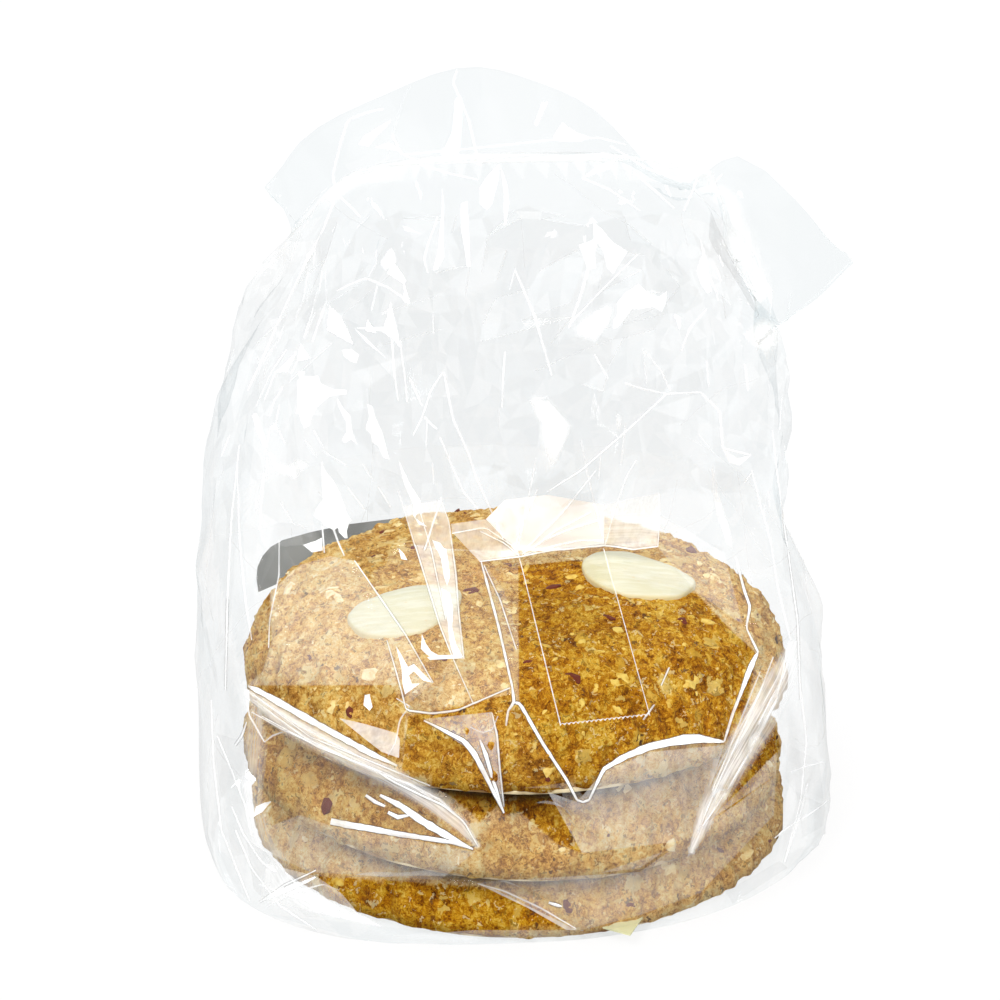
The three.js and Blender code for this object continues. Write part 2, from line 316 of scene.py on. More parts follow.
class Wire:
    """A socket of a material. Arithmetic on it adds Math nodes, and node adds any other node."""

    def __init__(self, tree, socket=None):
        self.tree = tree
        self.socket = socket

    def node(self, kind, settings=None, inputs=None, output=0):
        made = self.tree.nodes.new(kind)
        for name, value in (settings or {}).items():
            if name == "stops":
                ramp = made.color_ramp
                while len(ramp.elements) < len(value):
                    ramp.elements.new(1.0)
                for element, (position, colour) in zip(ramp.elements, value):
                    element.position = position
                    element.color = colour
            else:
                setattr(made, name, value)
        for name, value in (inputs or {}).items():
            if isinstance(value, Wire):
                self.tree.links.new(value.socket, made.inputs[name])
            else:
                made.inputs[name].default_value = value
        return Wire(self.tree, made.outputs[output] if made.outputs else None)

    def maths(self, operation, first, second=0.0):
        return self.node("ShaderNodeMath", {"operation": operation}, {0: first, 1: second})

    def __add__(self, other):
        return self.maths("ADD", self, other)

    def __radd__(self, other):
        return self.maths("ADD", other, self)

    def __sub__(self, other):
        return self.maths("SUBTRACT", self, other)

    def __rsub__(self, other):
        return self.maths("SUBTRACT", other, self)

    def __mul__(self, other):
        return self.maths("MULTIPLY", self, other)

    def __rmul__(self, other):
        return self.maths("MULTIPLY", other, self)

    def __gt__(self, other):
        return self.maths("GREATER_THAN", self, other)

    def clamp(self):
        return self.node("ShaderNodeClamp", {}, {"Value": self})

    def between(self, low, high):
        """0 below low, 1 above high, and eased between them."""
        inputs = {"Value": self, "From Min": low, "From Max": high}
        return self.node("ShaderNodeMapRange", {"interpolation_type": "SMOOTHSTEP"}, inputs)

    def blend(self, under, over):
        """One colour under and another over it, by how much this is 1."""
        inputs = {"Factor": self, 6: under, 7: over}
        return self.node("ShaderNodeMix", {"data_type": "RGBA"}, inputs, 2)

    def noise(self, size, detail=4.0, roughness=0.55):
        """Noise over the surface with features of one size, in metres."""
        inputs = {"Vector": self, "Scale": 1 / size, "Detail": detail, "Roughness": roughness}
        return self.node("ShaderNodeTexNoise", {}, inputs)

    def cells(self, size, output):
        """Scattered cells of one size: output 0 is the way from a cell's middle, 1 its own colour."""
        return self.node("ShaderNodeTexVoronoi", {}, {"Vector": self, "Scale": 1 / size}, output)

    def flecks(self, size, channel, share, near, far):
        """1 in the middle of those cells whose colour is above a share in one channel, with soft rims."""
        chosen = self.cells(size, 1).channel(channel) > share
        return chosen * (1 - self.cells(size, 0).between(near, far))

    def channel(self, output):
        """One of the three parts of a colour."""
        return self.node("ShaderNodeSeparateColor", {}, {"Color": self}, output)

    def attribute(self, name):
        return self.node("ShaderNodeAttribute", {"attribute_name": name}, {}, 2)


def colour(red, green, blue):
    return (red, green, blue, 1.0)


def new_material(name):
    """A material with an empty tree, the Object coordinates, and a way to set its surface."""
    material = bpy.data.materials.new(name)
    material.use_nodes = True
    material.node_tree.nodes.clear()
    start = Wire(material.node_tree)
    return material, start.node("ShaderNodeTexCoord", {}, {}, 3)


def set_surface(wire, shader):
    wire.node("ShaderNodeOutputMaterial", {}, {"Surface": shader})


def crumb_material():
    """Crumb in clumps and grains with bits of nut and dark skins, richer where the film wets it, with
    painted glints and painted shade.
    """
    material, place = new_material("crumb")
    drawn = place.node("ShaderNodeMapping", {}, {"Vector": place, "Scale": (1.0, 0.7, 1.0)})
    jitter_inputs = {"Vector": drawn, "Scale": 1 / (1.3 * MM), "Detail": 4.0}
    jitter = drawn.node("ShaderNodeTexNoise", {}, jitter_inputs, 1)
    torn_inputs = {0: jitter, 1: (4.0 * MM, 4.0 * MM, 4.0 * MM), 2: drawn}
    torn = drawn.node("ShaderNodeVectorMath", {"operation": "MULTIPLY_ADD"}, torn_inputs)
    grain = drawn.noise(0.75 * MM, 6.0, 0.85)
    granule = torn.cells(0.40 * MM, 1).channel(0)
    clump = torn.noise(2.6 * MM, 3.0, 0.6)
    bake = place.noise(11 * MM, 2.0)
    tone = grain * 1.30 + granule * 0.26 + clump * 0.95 + bake * 0.30 - 0.88
    dry_browns = [
        (0.20, colour(0.320, 0.125, 0.022)),
        (0.40, colour(0.640, 0.325, 0.073)),
        (0.50, colour(0.785, 0.460, 0.128)),
        (0.62, colour(0.870, 0.590, 0.208)),
        (0.80, colour(0.920, 0.745, 0.385)),
    ]
    wet_browns = [
        (0.20, colour(0.085, 0.020, 0.0003)),
        (0.40, colour(0.345, 0.108, 0.0008)),
        (0.50, colour(0.510, 0.200, 0.002)),
        (0.62, colour(0.660, 0.328, 0.010)),
        (0.80, colour(0.820, 0.540, 0.085)),
    ]
    dry = tone.node("ShaderNodeValToRGB", {"stops": dry_browns}, {"Fac": tone})
    wet = tone.node("ShaderNodeValToRGB", {"stops": wet_browns}, {"Fac": tone})
    for size, share, reach in ((4.4 * MM, 0.78, 0.30), (2.4 * MM, 0.82, 0.30)):
        bits = torn.flecks(size, 0, share, reach, reach + 0.07) * 0.70
        toast = torn.cells(size, 1).channel(1)
        dry = bits.blend(dry, toast.blend(colour(0.940, 0.810, 0.500), colour(0.840, 0.630, 0.270)))
        wet = bits.blend(wet, toast.blend(colour(0.880, 0.650, 0.180), colour(0.700, 0.390, 0.030)))
    # Small pale dots in the wet crumb and tiny near-white dots all over are painted glints; tiny dark
    # dots are scattered as well.
    sparks = torn.flecks(0.7 * MM, 2, 0.93, 0.18, 0.30)
    wet = (sparks * 0.7).blend(wet, colour(0.950, 0.800, 0.480))
    base = place.attribute("pressed").blend(dry, wet)
    glitter = torn.cells(0.60 * MM, 1)
    base = ((glitter.channel(0) > 0.965) * 0.50).blend(base, colour(0.950, 0.800, 0.420))
    base = ((glitter.channel(1) > 0.945) * 0.55).blend(base, colour(0.130, 0.048, 0.006))
    specks = torn.flecks(1.9 * MM, 2, 0.90, 0.20, 0.28)
    base = (specks * 0.8).blend(base, colour(0.100, 0.040, 0.018))
    skins = torn.flecks(6 * MM, 2, 0.84, 0.11, 0.14)
    base = (skins * 0.9).blend(base, colour(0.060, 0.026, 0.020))
    # Painted shade darkens the crumb in its hollows.
    hollow = place.attribute("hollow").between(0.06, 0.50)
    base = (hollow * 0.60).blend(base, colour(0.150, 0.055, 0.010))
    # A painted shadow darkens the crumb in the gap under the gingerbread above.
    gap = place.attribute("sheltered").between(0.08, 0.42)
    base = (gap * 0.94).blend(base, colour(0.016, 0.007, 0.003))
    bump_inputs = {"Strength": 0.7, "Distance": 0.5 * MM, "Height": grain + granule * 0.45 + clump}
    bump = place.node("ShaderNodeBump", {}, bump_inputs)
    shader = place.node("ShaderNodeBsdfPrincipled", {}, {
        "Base Color": base,
        "Roughness": 0.75,
        "Specular IOR Level": 0.15,
        "Normal": bump,
    })
    set_surface(place, shader)
    return material


CRUMB = crumb_material()
cakes = {}
cake_above = dict(zip(CAKES, list(CAKES.values())[1:]))
for cake_name, cake in CAKES.items():
    cake_shape = cake_mesh(cake_name, cake)
    cake_points = vertex_array(cake_shape)
    toward_front = normal_array(cake_shape)[:, 1] < 0.5
    set_attribute(cake_shape, "pressed", pressed_at(cake_points) * toward_front)
    in_gap = np.zeros(len(cake_points))
    if cake_name in cake_above:
        in_gap = shelter(cake_points, cake_above[cake_name])
    set_attribute(cake_shape, "sheltered", in_gap)
    cake_shape.materials.append(CRUMB)
    cake_shape.shade_smooth()
    cakes[cake_name] = new_piece(cake_name, cake_shape)
    cakes[cake_name].visible_glossy = False
    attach(cakes[cake_name], "root")
    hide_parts("bag")


# The wafers: thin pale discs of starch that the dough is baked on.
# Each shows as a light edge under its gingerbread, slightly wavy.
WAFER_RADIUS = 46.0 * MM
WAFER_THICKNESS = 0.8 * MM
WAFER_EDGE = 0.25 * MM
WAFER_SEGMENTS = 180
WAFER_WAVER = 0.008
WAFER_WARP = 0.25 * MM
WAFER_BITE = 0.1 * MM


def wafer_material():
    material, place = new_material("wafer")
    mottle = place.noise(5 * MM, 3.0).between(0.38, 0.62)
    base = mottle.blend(colour(0.30, 0.16, 0.05), colour(0.86, 0.70, 0.42))
    shader = place.node("ShaderNodeBsdfPrincipled", {}, {"Base Color": base, "Roughness": 0.7})
    set_surface(place, shader)
    return material


WAFER = wafer_material()
for cake_name, cake in CAKES.items():
    bm = bmesh.new()
    bmesh.ops.create_circle(bm, cap_ends=True, segments=WAFER_SEGMENTS, radius=WAFER_RADIUS)
    top = bmesh.ops.extrude_face_region(bm, geom=bm.faces[:])["geom"]
    risen = [item for item in top if isinstance(item, bmesh.types.BMVert)]
    bmesh.ops.translate(bm, verts=risen, vec=(0, 0, WAFER_THICKNESS))
    rims = [edge for edge in bm.edges if abs(edge.verts[0].co.z - edge.verts[1].co.z) < 1e-6]
    bmesh.ops.bevel(
        bm, geom=rims, offset=WAFER_EDGE, affect="EDGES", segments=2, profile=0.5, material=-1,
    )
    for vertex in bm.verts:
        around = vertex.co.normalized()
        vertex.co.xy *= 1 + WAFER_WAVER * noise.noise(around * 3 + Vector((0, 0, cake["seed"])))
        vertex.co.z += WAFER_WARP * noise.noise(around * 4 + Vector((cake["seed"], 0, 0)))
    bmesh.ops.translate(bm, verts=bm.verts, vec=(0, 0, -WAFER_THICKNESS + WAFER_BITE))
    bmesh.ops.transform(bm, matrix=cake_place(cake), verts=bm.verts)
    bmesh.ops.recalc_face_normals(bm, faces=bm.faces)
    wafer_mesh = bpy.data.meshes.new(cake_name.replace("gingerbread", "wafer"))
    bm.to_mesh(wafer_mesh)
    bm.free()
    wafer_mesh.materials.append(WAFER)
    wafer = new_piece(wafer_mesh.name, wafer_mesh)
    wafer.visible_glossy = False
    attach(wafer, "root")
    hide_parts("bag")


# Chopped nuts in the dough: angular bits up to a few millimetres long, most of them flush with the crumb.
# They are pale and toasted, and some still carry their red or dark skin.
NUT_SEED = 5
NUT_COUNTS = {"gingerbread_bottom": 200, "gingerbread_middle": 280, "gingerbread_top": 420}
NUT_LENGTH = (1.0 * MM, 4.2 * MM)
NUT_BREADTH = (0.5, 0.9)
NUT_THICKNESS = (0.25, 0.45)
NUT_CHIPPED = (0.70, 1.20)
NUT_LEAN = 0.35
NUT_SUNK = 0.34
SKIN_SHARE = 0.12
UNDERSIDE = -0.35


def nut_material():
    material, place = new_material("chopped_nut")
    toast = place.noise(1.2 * MM, 4.0).between(0.40, 0.70)
    dry = toast.blend(colour(0.930, 0.800, 0.500), colour(0.780, 0.540, 0.240))
    wet = toast.blend(colour(0.830, 0.590, 0.130), colour(0.640, 0.360, 0.040))
    base = place.attribute("pressed").blend(dry, wet)
    base = place.attribute("skin").blend(base, colour(0.150, 0.030, 0.015))
    shader = place.node("ShaderNodeBsdfPrincipled", {}, {
        "Base Color": base,
        "Roughness": 0.6,
        "Specular IOR Level": 0.2,
    })
    set_surface(place, shader)
    return material


def scatter_nuts():
    """Rough bits of all sizes, turned any way and sunk into the gingerbreads where dough can be seen."""
    draw = random.Random(NUT_SEED)
    bm = bmesh.new()
    pressed_layer = bm.verts.layers.float.new("pressed")
    skin_layer = bm.verts.layers.float.new("skin")
    for cake_name, count in NUT_COUNTS.items():
        mesh = cakes[cake_name].data
        wet = mesh.attributes["pressed"].data
        for _ in range(count):
            vertex = mesh.vertices[draw.randrange(len(mesh.vertices))]
            if vertex.normal.z < UNDERSIDE:
                continue
            length = NUT_LENGTH[0] + (NUT_LENGTH[1] - NUT_LENGTH[0]) * draw.random() ** 2
            breadth = length * draw.uniform(*NUT_BREADTH)
            size = Vector((length, breadth, length * draw.uniform(*NUT_THICKNESS)))
            made = bmesh.ops.create_icosphere(bm, subdivisions=1, radius=0.5)["verts"]
            skin = 1.0 if draw.random() < SKIN_SHARE else 0.0
            for corner in made:
                corner.co *= draw.uniform(*NUT_CHIPPED)
                corner[pressed_layer] = wet[vertex.index].value
                corner[skin_layer] = skin
            turn = vertex.normal.to_track_quat("Z", "Y").to_matrix().to_4x4()
            spin = Matrix.Rotation(draw.uniform(0, math.tau), 4, "Z")
            lean = Matrix.Rotation(draw.uniform(-NUT_LEAN, NUT_LEAN), 4, "X")
            sink = Matrix.Translation(vertex.co - vertex.normal * size.z * NUT_SUNK)
            laid = sink @ turn @ spin @ lean @ Matrix.Diagonal((*size, 1.0))
            bmesh.ops.transform(bm, matrix=laid, verts=made)
    mesh = bpy.data.meshes.new("chopped_nuts")
    bm.to_mesh(mesh)
    bm.free()
    return mesh


nut_mesh = scatter_nuts()
nut_mesh.materials.append(nut_material())
chopped_nuts = new_piece("chopped_nuts", nut_mesh)
chopped_nuts.visible_glossy = False
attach(chopped_nuts, "root")
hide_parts("bag")


# The almond halves: blanched, laid on the dough with the flat side down before baking.
# They are cream coloured, a little broken at the edge, and faintly fibrous along their length.
ALMONDS = {
    # the widest outline of each, as it shows in the image, in columns and rows
    "almond_right": (
        (580, 563), (586, 559), (598, 553), (612, 552), (626, 552), (640, 555), (652, 559), (665, 563),
        (677, 568), (688, 575), (696, 583), (697, 588), (690, 591), (684, 596), (673, 598), (655, 598),
        (636, 596), (621, 594), (612, 591), (601, 587), (588, 581), (582, 572),
    ),
    "almond_left": (
        (346, 620), (349, 614), (356, 605), (364, 601), (372, 597), (381, 594), (390, 591), (403, 588),
        (419, 586), (432, 587), (444, 588), (456, 590), (464, 595), (461, 605), (450, 615), (435, 625),
        (421, 632), (408, 634), (385, 637), (369, 637), (360, 636), (355, 632), (351, 627), (348, 623),
    ),
}
ALMOND_GIRDLE = 0.45 * MM
ALMOND_WALL = 2.8 * MM
ALMOND_FOOT = 0.95
# Above the girdle: how much of its breadth each next ring keeps, and how far it rises.
ALMOND_RINGS = (
    (0.975, 0.32 * MM), (0.92, 0.28 * MM), (0.80, 0.26 * MM), (0.62, 0.18 * MM), (0.36, 0.08 * MM),
)


def almond_material():
    material, place = new_material("blanched_almond")
    drawn = place.node("ShaderNodeMapping", {}, {"Vector": place, "Scale": (0.16, 1.0, 1.0)})
    fibre = drawn.noise(1.0 * MM, 4.0).between(0.35, 0.7)
    base = fibre.blend(colour(0.720, 0.670, 0.465), colour(0.790, 0.755, 0.600))
    stains = place.cells(2.6 * MM, 0).between(0.05, 0.14)
    base = (0.35 - stains * 0.35).blend(base, colour(0.780, 0.560, 0.240))
    edge = place.attribute("edge").between(0.80, 1.0)
    base = (edge * 0.6).blend(base, colour(0.780, 0.660, 0.330))
    shader = place.node("ShaderNodeBsdfPrincipled", {}, {
        "Base Color": base,
        "Roughness": 0.45,
        "Specular IOR Level": 0.3,
        "Subsurface Weight": 0.10,
        "Subsurface Radius": (0.002, 0.0014, 0.0007),
    })
    set_surface(place, shader)
    return material


def almond_bmesh(outline):
    """An outline laid a little above the crown, walled down into the dough and domed in rings above."""
    rows_up = ALMOND_GIRDLE * math.cos(ELEVATION) * PIXELS_PER_TAN / DISTANCE
    lines = [sight_line(column, row + rows_up) for column, row in outline]
    hits = [crown_tree.ray_cast(Vector(camera_place), line)[0] for line in lines]
    flat = np.array([(*hit.xy, 1.0) for hit in hits])
    plane = np.linalg.lstsq(flat, np.array([hit.z for hit in hits]), rcond=None)[0]
    bm = bmesh.new()
    edge_layer = bm.verts.layers.float.new("edge")
    heights = [float(place @ plane) + ALMOND_GIRDLE for place in flat]
    girdle = [bm.verts.new((hit.x, hit.y, height)) for hit, height in zip(hits, heights)]
    face = bm.faces.new(girdle)
    face.normal_update()
    if face.normal.z < 0:
        face.normal_flip()
    centre = face.calc_center_median()
    for corner in girdle:
        corner[edge_layer] = 1.0
    foot = bmesh.ops.extrude_edge_only(bm, edges=face.edges[:])["geom"]
    foot = [item for item in foot if isinstance(item, bmesh.types.BMVert)]
    bmesh.ops.scale(
        bm, vec=(ALMOND_FOOT, ALMOND_FOOT, 1.0), space=Matrix.Translation(-centre), verts=foot,
    )
    bmesh.ops.translate(bm, verts=foot, vec=(0, 0, -ALMOND_WALL))
    breadth = 1.0
    for kept, rise in ALMOND_RINGS:
        face = bmesh.ops.extrude_discrete_faces(bm, faces=[face])["faces"][0]
        ring = face.verts[:]
        bmesh.ops.scale(
            bm, vec=(kept / breadth, kept / breadth, 1.0), space=Matrix.Translation(-centre), verts=ring,
        )
        bmesh.ops.translate(bm, verts=ring, vec=(0, 0, rise))
        breadth = kept
        for corner in ring:
            corner[edge_layer] = max(0.0, kept * 4 - 3)
    bmesh.ops.recalc_face_normals(bm, faces=bm.faces)
    return bm


ALMOND = almond_material()
crown_tree = BVHTree.FromObject(cakes["gingerbread_top"], bpy.context.evaluated_depsgraph_get())
for almond_name, outline in ALMONDS.items():
    bm = almond_bmesh(outline)
    almond_mesh = bpy.data.meshes.new(almond_name)
    bm.to_mesh(almond_mesh)
    bm.free()
    almond_mesh.shade_smooth()
    almond_mesh.materials.append(ALMOND)
    almond_half = new_piece(almond_name, almond_mesh)
    rounding = almond_half.modifiers.new("rounding", "SUBSURF")
    rounding.levels = rounding.render_levels = 2
    almond_half.visible_glossy = False
    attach(almond_half, "root")
    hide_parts("bag")


# The bag: crisp clear film, drawn tight over the stack, gathered above it and open at the folded mouth.
# It keeps its creases, stands off the stack in milky panes with a painted sheen and clings to it where it
# is pressed.
FILM_SEED = 9
FILM_CUTS = 2
CUT_FACING = -0.1
FILM_SHARE = 0.5
FILM_FOOT = 0.05 * MM
BODY_ROUNDS = 8
KNOT_ROUNDS = 30
BODY_FOOT = 2 * MM
BODY_TOP = 100 * MM
CREASE_ANGLE = math.radians(10)
CRISP_PANES = 2000
CRISP_SQUASH = 0.42
CRISP_FOOT = 57 * MM
CRISP_TOP = 101 * MM
FLAP_START = (38 * MM, 82 * MM)
NECK_KNOT = Vector((-35.5 * MM, 15.0 * MM, 101.0 * MM))
KNOT_REACH = 8.5 * MM
NECK_START = 101 * MM
NECK_EASE = 9 * MM
NECK_LINE = [
    Vector(place) * MM for place in (
        (-38, 15.5, 97), (-29.5, 13.5, 109.5), (-14, 13.5, 114), (2, 13.5, 115), (19, 13.5, 113.5),
        (33.5, 13.5, 110.5), (42, 14.5, 90),
    )
]
RANDOM_FOLDS = {
    # name: how many, lowest and highest place, ranges of length, half width and slope, and spread
    "long_gathers": (120, 50 * MM, 108 * MM, (26 * MM, 78 * MM), (3 * MM, 8 * MM), (-0.22, 0.26), 0.32),
    "short_creases": (
        110, 50 * MM, 108 * MM, (6 * MM, 22 * MM), (1.6 * MM, 4.5 * MM), (-0.26, 0.30), 1.0,
    ),
    "low_creases": (130, 4 * MM, 54 * MM, (8 * MM, 30 * MM), (2 * MM, 6 * MM), (0.04, 0.22), 1.1),
}
GATHERS = {
    # name: height and half width in millimetres of the panes that fan from the pleat up to the neck
    "far_left": (2.2, 9.0, ((486, 560), (400, 400), (352, 205))),
    "left": (-1.8, 8.0, ((496, 556), (440, 370), (412, 190))),
    "middle_left": (1.9, 7.0, ((504, 556), (478, 360), (462, 172))),
    "middle_right": (-1.7, 7.0, ((520, 556), (548, 380), (552, 166))),
    "right": (2.0, 8.0, ((532, 552), (600, 400), (622, 168))),
    "far_right": (-1.8, 9.0, ((545, 548), (668, 392), (690, 182))),
}


def relax(bm, verts, rounds):
    for _ in range(rounds):
        bmesh.ops.smooth_vert(
            bm, verts=verts, factor=0.5, use_axis_x=True, use_axis_y=True, use_axis_z=True,
        )


def film_bmesh():
    """The bag's outer skin, welded, cut finer where the camera sees it, and smoothed below the neck."""
    bm = bmesh.new()
    bm.from_mesh(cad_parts["bag"].data)
    bmesh.ops.remove_doubles(bm, verts=bm.verts, dist=1e-6)
    bmesh.ops.subdivide_edges(bm, edges=bm.edges[:], cuts=1, use_grid_fill=True)
    toward = Vector(camera_back)
    for _ in range(FILM_CUTS):
        bm.normal_update()
        faces = [face for face in bm.faces if face.normal.dot(toward) > CUT_FACING]
        edges = {edge for face in faces for edge in face.edges}
        bmesh.ops.subdivide_edges(bm, edges=list(edges), cuts=1, use_grid_fill=True)
    bmesh.ops.triangulate(bm, faces=bm.faces[:])
    body = [vertex for vertex in bm.verts if BODY_FOOT < vertex.co.z < BODY_TOP]
    body = [vertex for vertex in body if vertex.co.x <= FLAP_START[0] or vertex.co.z <= FLAP_START[1]]
    relax(bm, body, BODY_ROUNDS)
    knot = [vertex for vertex in bm.verts if (vertex.co - NECK_KNOT).length < KNOT_REACH]
    relax(bm, knot, KNOT_ROUNDS)
    return bm


film_bm = film_bmesh()
film_tree = BVHTree.FromBMesh(film_bm)
film_mesh = bpy.data.meshes.new("film_smooth")
film_bm.to_mesh(film_mesh)
film_bm.free()
film_points = vertex_array(film_mesh)
film_normals = normal_array(film_mesh)
film_edges = np.empty(len(film_mesh.edges) * 2, dtype=np.int32)
film_mesh.edges.foreach_get("vertices", film_edges)
film_edges = film_edges.reshape(-1, 2)


def on_film(way):
    """The points of the film that the camera sees at some pixels."""
    places = (film_tree.ray_cast(Vector(camera_place), sight_line(*pixel))[0] for pixel in way)
    return [place for place in places if place is not None]


def along_line(points, line):
    """Each point's distance from a line of several stretches, and its share of the way along it."""
    lengths = [(b - a).length for a, b in zip(line, line[1:])]
    total = sum(lengths)
    best = np.full(len(points), 1e9)
    share = np.zeros(len(points))
    gone = 0.0
    for a, b, length in zip(line, line[1:], lengths):
        stretch = np.array(b - a)
        t = np.clip((points - np.array(a)) @ stretch / max(length * length, 1e-12), 0, 1)
        distance = np.linalg.norm(points - (np.array(a) + t[:, None] * stretch), axis=1)
        nearer = distance < best
        best = np.where(nearer, distance, best)
        share = np.where(nearer, (gone + t * length) / total, share)
        gone += length
    return best, share


def roof(points, line, height, half_width):
    """A flat sided fold: a crease with a sloping pane on either side."""
    distance, share = along_line(points, line)
    ends = 1 - np.abs(share * 2 - 1)
    return height * ends * np.clip(1 - distance / half_width, 0, 1)


def random_roofs(draw, count, low, high, lengths, widths, slopes, spread):
    """Creases thrown over the film between two heights, most of them steep."""
    lift = np.zeros(len(film_points))
    chosen = np.flatnonzero((film_points[:, 2] > low) & (film_points[:, 2] < high))
    for _ in range(count):
        at = chosen[draw.randrange(len(chosen))]
        middle = Vector(film_points[at])
        normal = Vector(film_normals[at])
        level = normal.cross(Vector((0, 0, 1)))
        if level.length < 0.2:
            level = normal.cross(Vector((0, 1, 0)))
        direction = level.normalized()
        direction.rotate(Matrix.Rotation(math.pi / 2 + draw.gauss(0, spread), 3, normal))
        half = direction * draw.uniform(*lengths) / 2
        width = draw.uniform(*widths)
        lift += roof(film_points, [middle - half, middle + half], width * draw.uniform(*slopes), width)
    return lift


fold_draw = random.Random(FILM_SEED)
lift = np.zeros(len(film_points))
for measures in RANDOM_FOLDS.values():
    lift += random_roofs(fold_draw, *measures)
for height, half_width, way in GATHERS.values():
    lift += roof(film_points, on_film(way), height * MM, half_width * MM)
lift *= 1 - np.clip((film_points[:, 2] - NECK_START) / NECK_EASE, 0, 1)

# Where it is pressed, the film is laid a hair above the crumb, and it eases off around that place.
CLING_GAP = 0.9 * MM
CLING_REACH = 12 * MM
CLING_TOP = 60 * MM
SHELL_GRID = 70
EASE_ROUNDS = 22
EASE_KEPT = 0.96
FACING = -0.05
shell_trees = []
for cake in CAKES.values():
    shell = cake_grid(SHELL_GRID)
    shell_mesh = bpy.data.meshes.new("shell")
    shell.to_mesh(shell_mesh)
    shell_points, _ = crown_points(cake, vertex_array(shell_mesh), CLING_GAP)
    for vertex, place in zip(shell.verts, laid_in_stack(cake, shell_points)):
        vertex.co = place
    shell_trees.append(BVHTree.FromBMesh(shell))
    shell.free()
    bpy.data.meshes.remove(shell_mesh)


def way_to_stack(place, direction):
    """How far it is along a direction to the nearest gingerbread, or 0 if none is in reach."""
    hits = (tree.ray_cast(place, direction, CLING_REACH)[3] for tree in shell_trees)
    return min((distance for distance in hits if distance is not None), default=0.0)


film_pressed = (pressed_at(film_points) > TOUCHING) & (film_points[:, 2] < CLING_TOP)
film_pressed &= film_normals @ camera_back > FACING
sink = np.zeros(len(film_points))
for index in np.flatnonzero(film_pressed):
    sink[index] = way_to_stack(Vector(film_points[index]), -Vector(film_normals[index]))
neighbours = np.bincount(film_edges.ravel(), minlength=len(film_points))
for _ in range(EASE_ROUNDS):
    total = np.bincount(film_edges[:, 0], sink[film_edges[:, 1]], len(film_points))
    total += np.bincount(film_edges[:, 1], sink[film_edges[:, 0]], len(film_points))
    sink = np.where(film_pressed, 0.5 * sink + 0.5 * total / neighbours, EASE_KEPT * total / neighbours)
lift = np.where(film_pressed, 0.0, lift) - sink
film_places = film_points + film_normals * lift[:, None]
film_places[:, 2] = np.maximum(film_places[:, 2], FILM_FOOT)


def crisp_at(points):
    """True where the film stands free in flat panes: above the stack, below the neck and off the flap."""
    free = (points[:, 2] > CRISP_FOOT) & (points[:, 2] < CRISP_TOP)
    return free & ((points[:, 0] < FLAP_START[0]) | (points[:, 2] < FLAP_START[1]))


# Flat panes are left as few large faces, so that each crease between them stays crisp.
film_bag = new_piece("film_bag", film_mesh)
set_vertex_array(film_mesh, film_places * np.array((1.0, 1.0, CRISP_SQUASH)))
crisp = crisp_at(film_points)
film_bag.vertex_groups.new(name="crisp").add(np.flatnonzero(crisp).tolist(), 1.0, "REPLACE")
corner_of = np.empty(len(film_mesh.polygons) * 3, dtype=np.int32)
film_mesh.polygons.foreach_get("vertices", corner_of)
crisp_faces = int(np.all(crisp[corner_of.reshape(-1, 3)], axis=1).sum())
calm_faces = len(film_mesh.polygons) - crisp_faces
flatten = film_bag.modifiers.new("panes", "DECIMATE")
flatten.vertex_group = "crisp"
flatten.ratio = (calm_faces + CRISP_PANES) / len(film_mesh.polygons)
thin_out = film_bag.modifiers.new("thin_out", "DECIMATE")
thin_out.vertex_group = "crisp"
thin_out.invert_vertex_group = True
thin_out.ratio = (calm_faces * FILM_SHARE + CRISP_PANES) / (calm_faces + CRISP_PANES)
film_bm = bmesh.new()
film_bm.from_object(film_bag, bpy.context.evaluated_depsgraph_get())
film_bag.modifiers.clear()
film_bag.vertex_groups.clear()
bmesh.ops.scale(film_bm, vec=(1.0, 1.0, 1 / CRISP_SQUASH), verts=film_bm.verts)
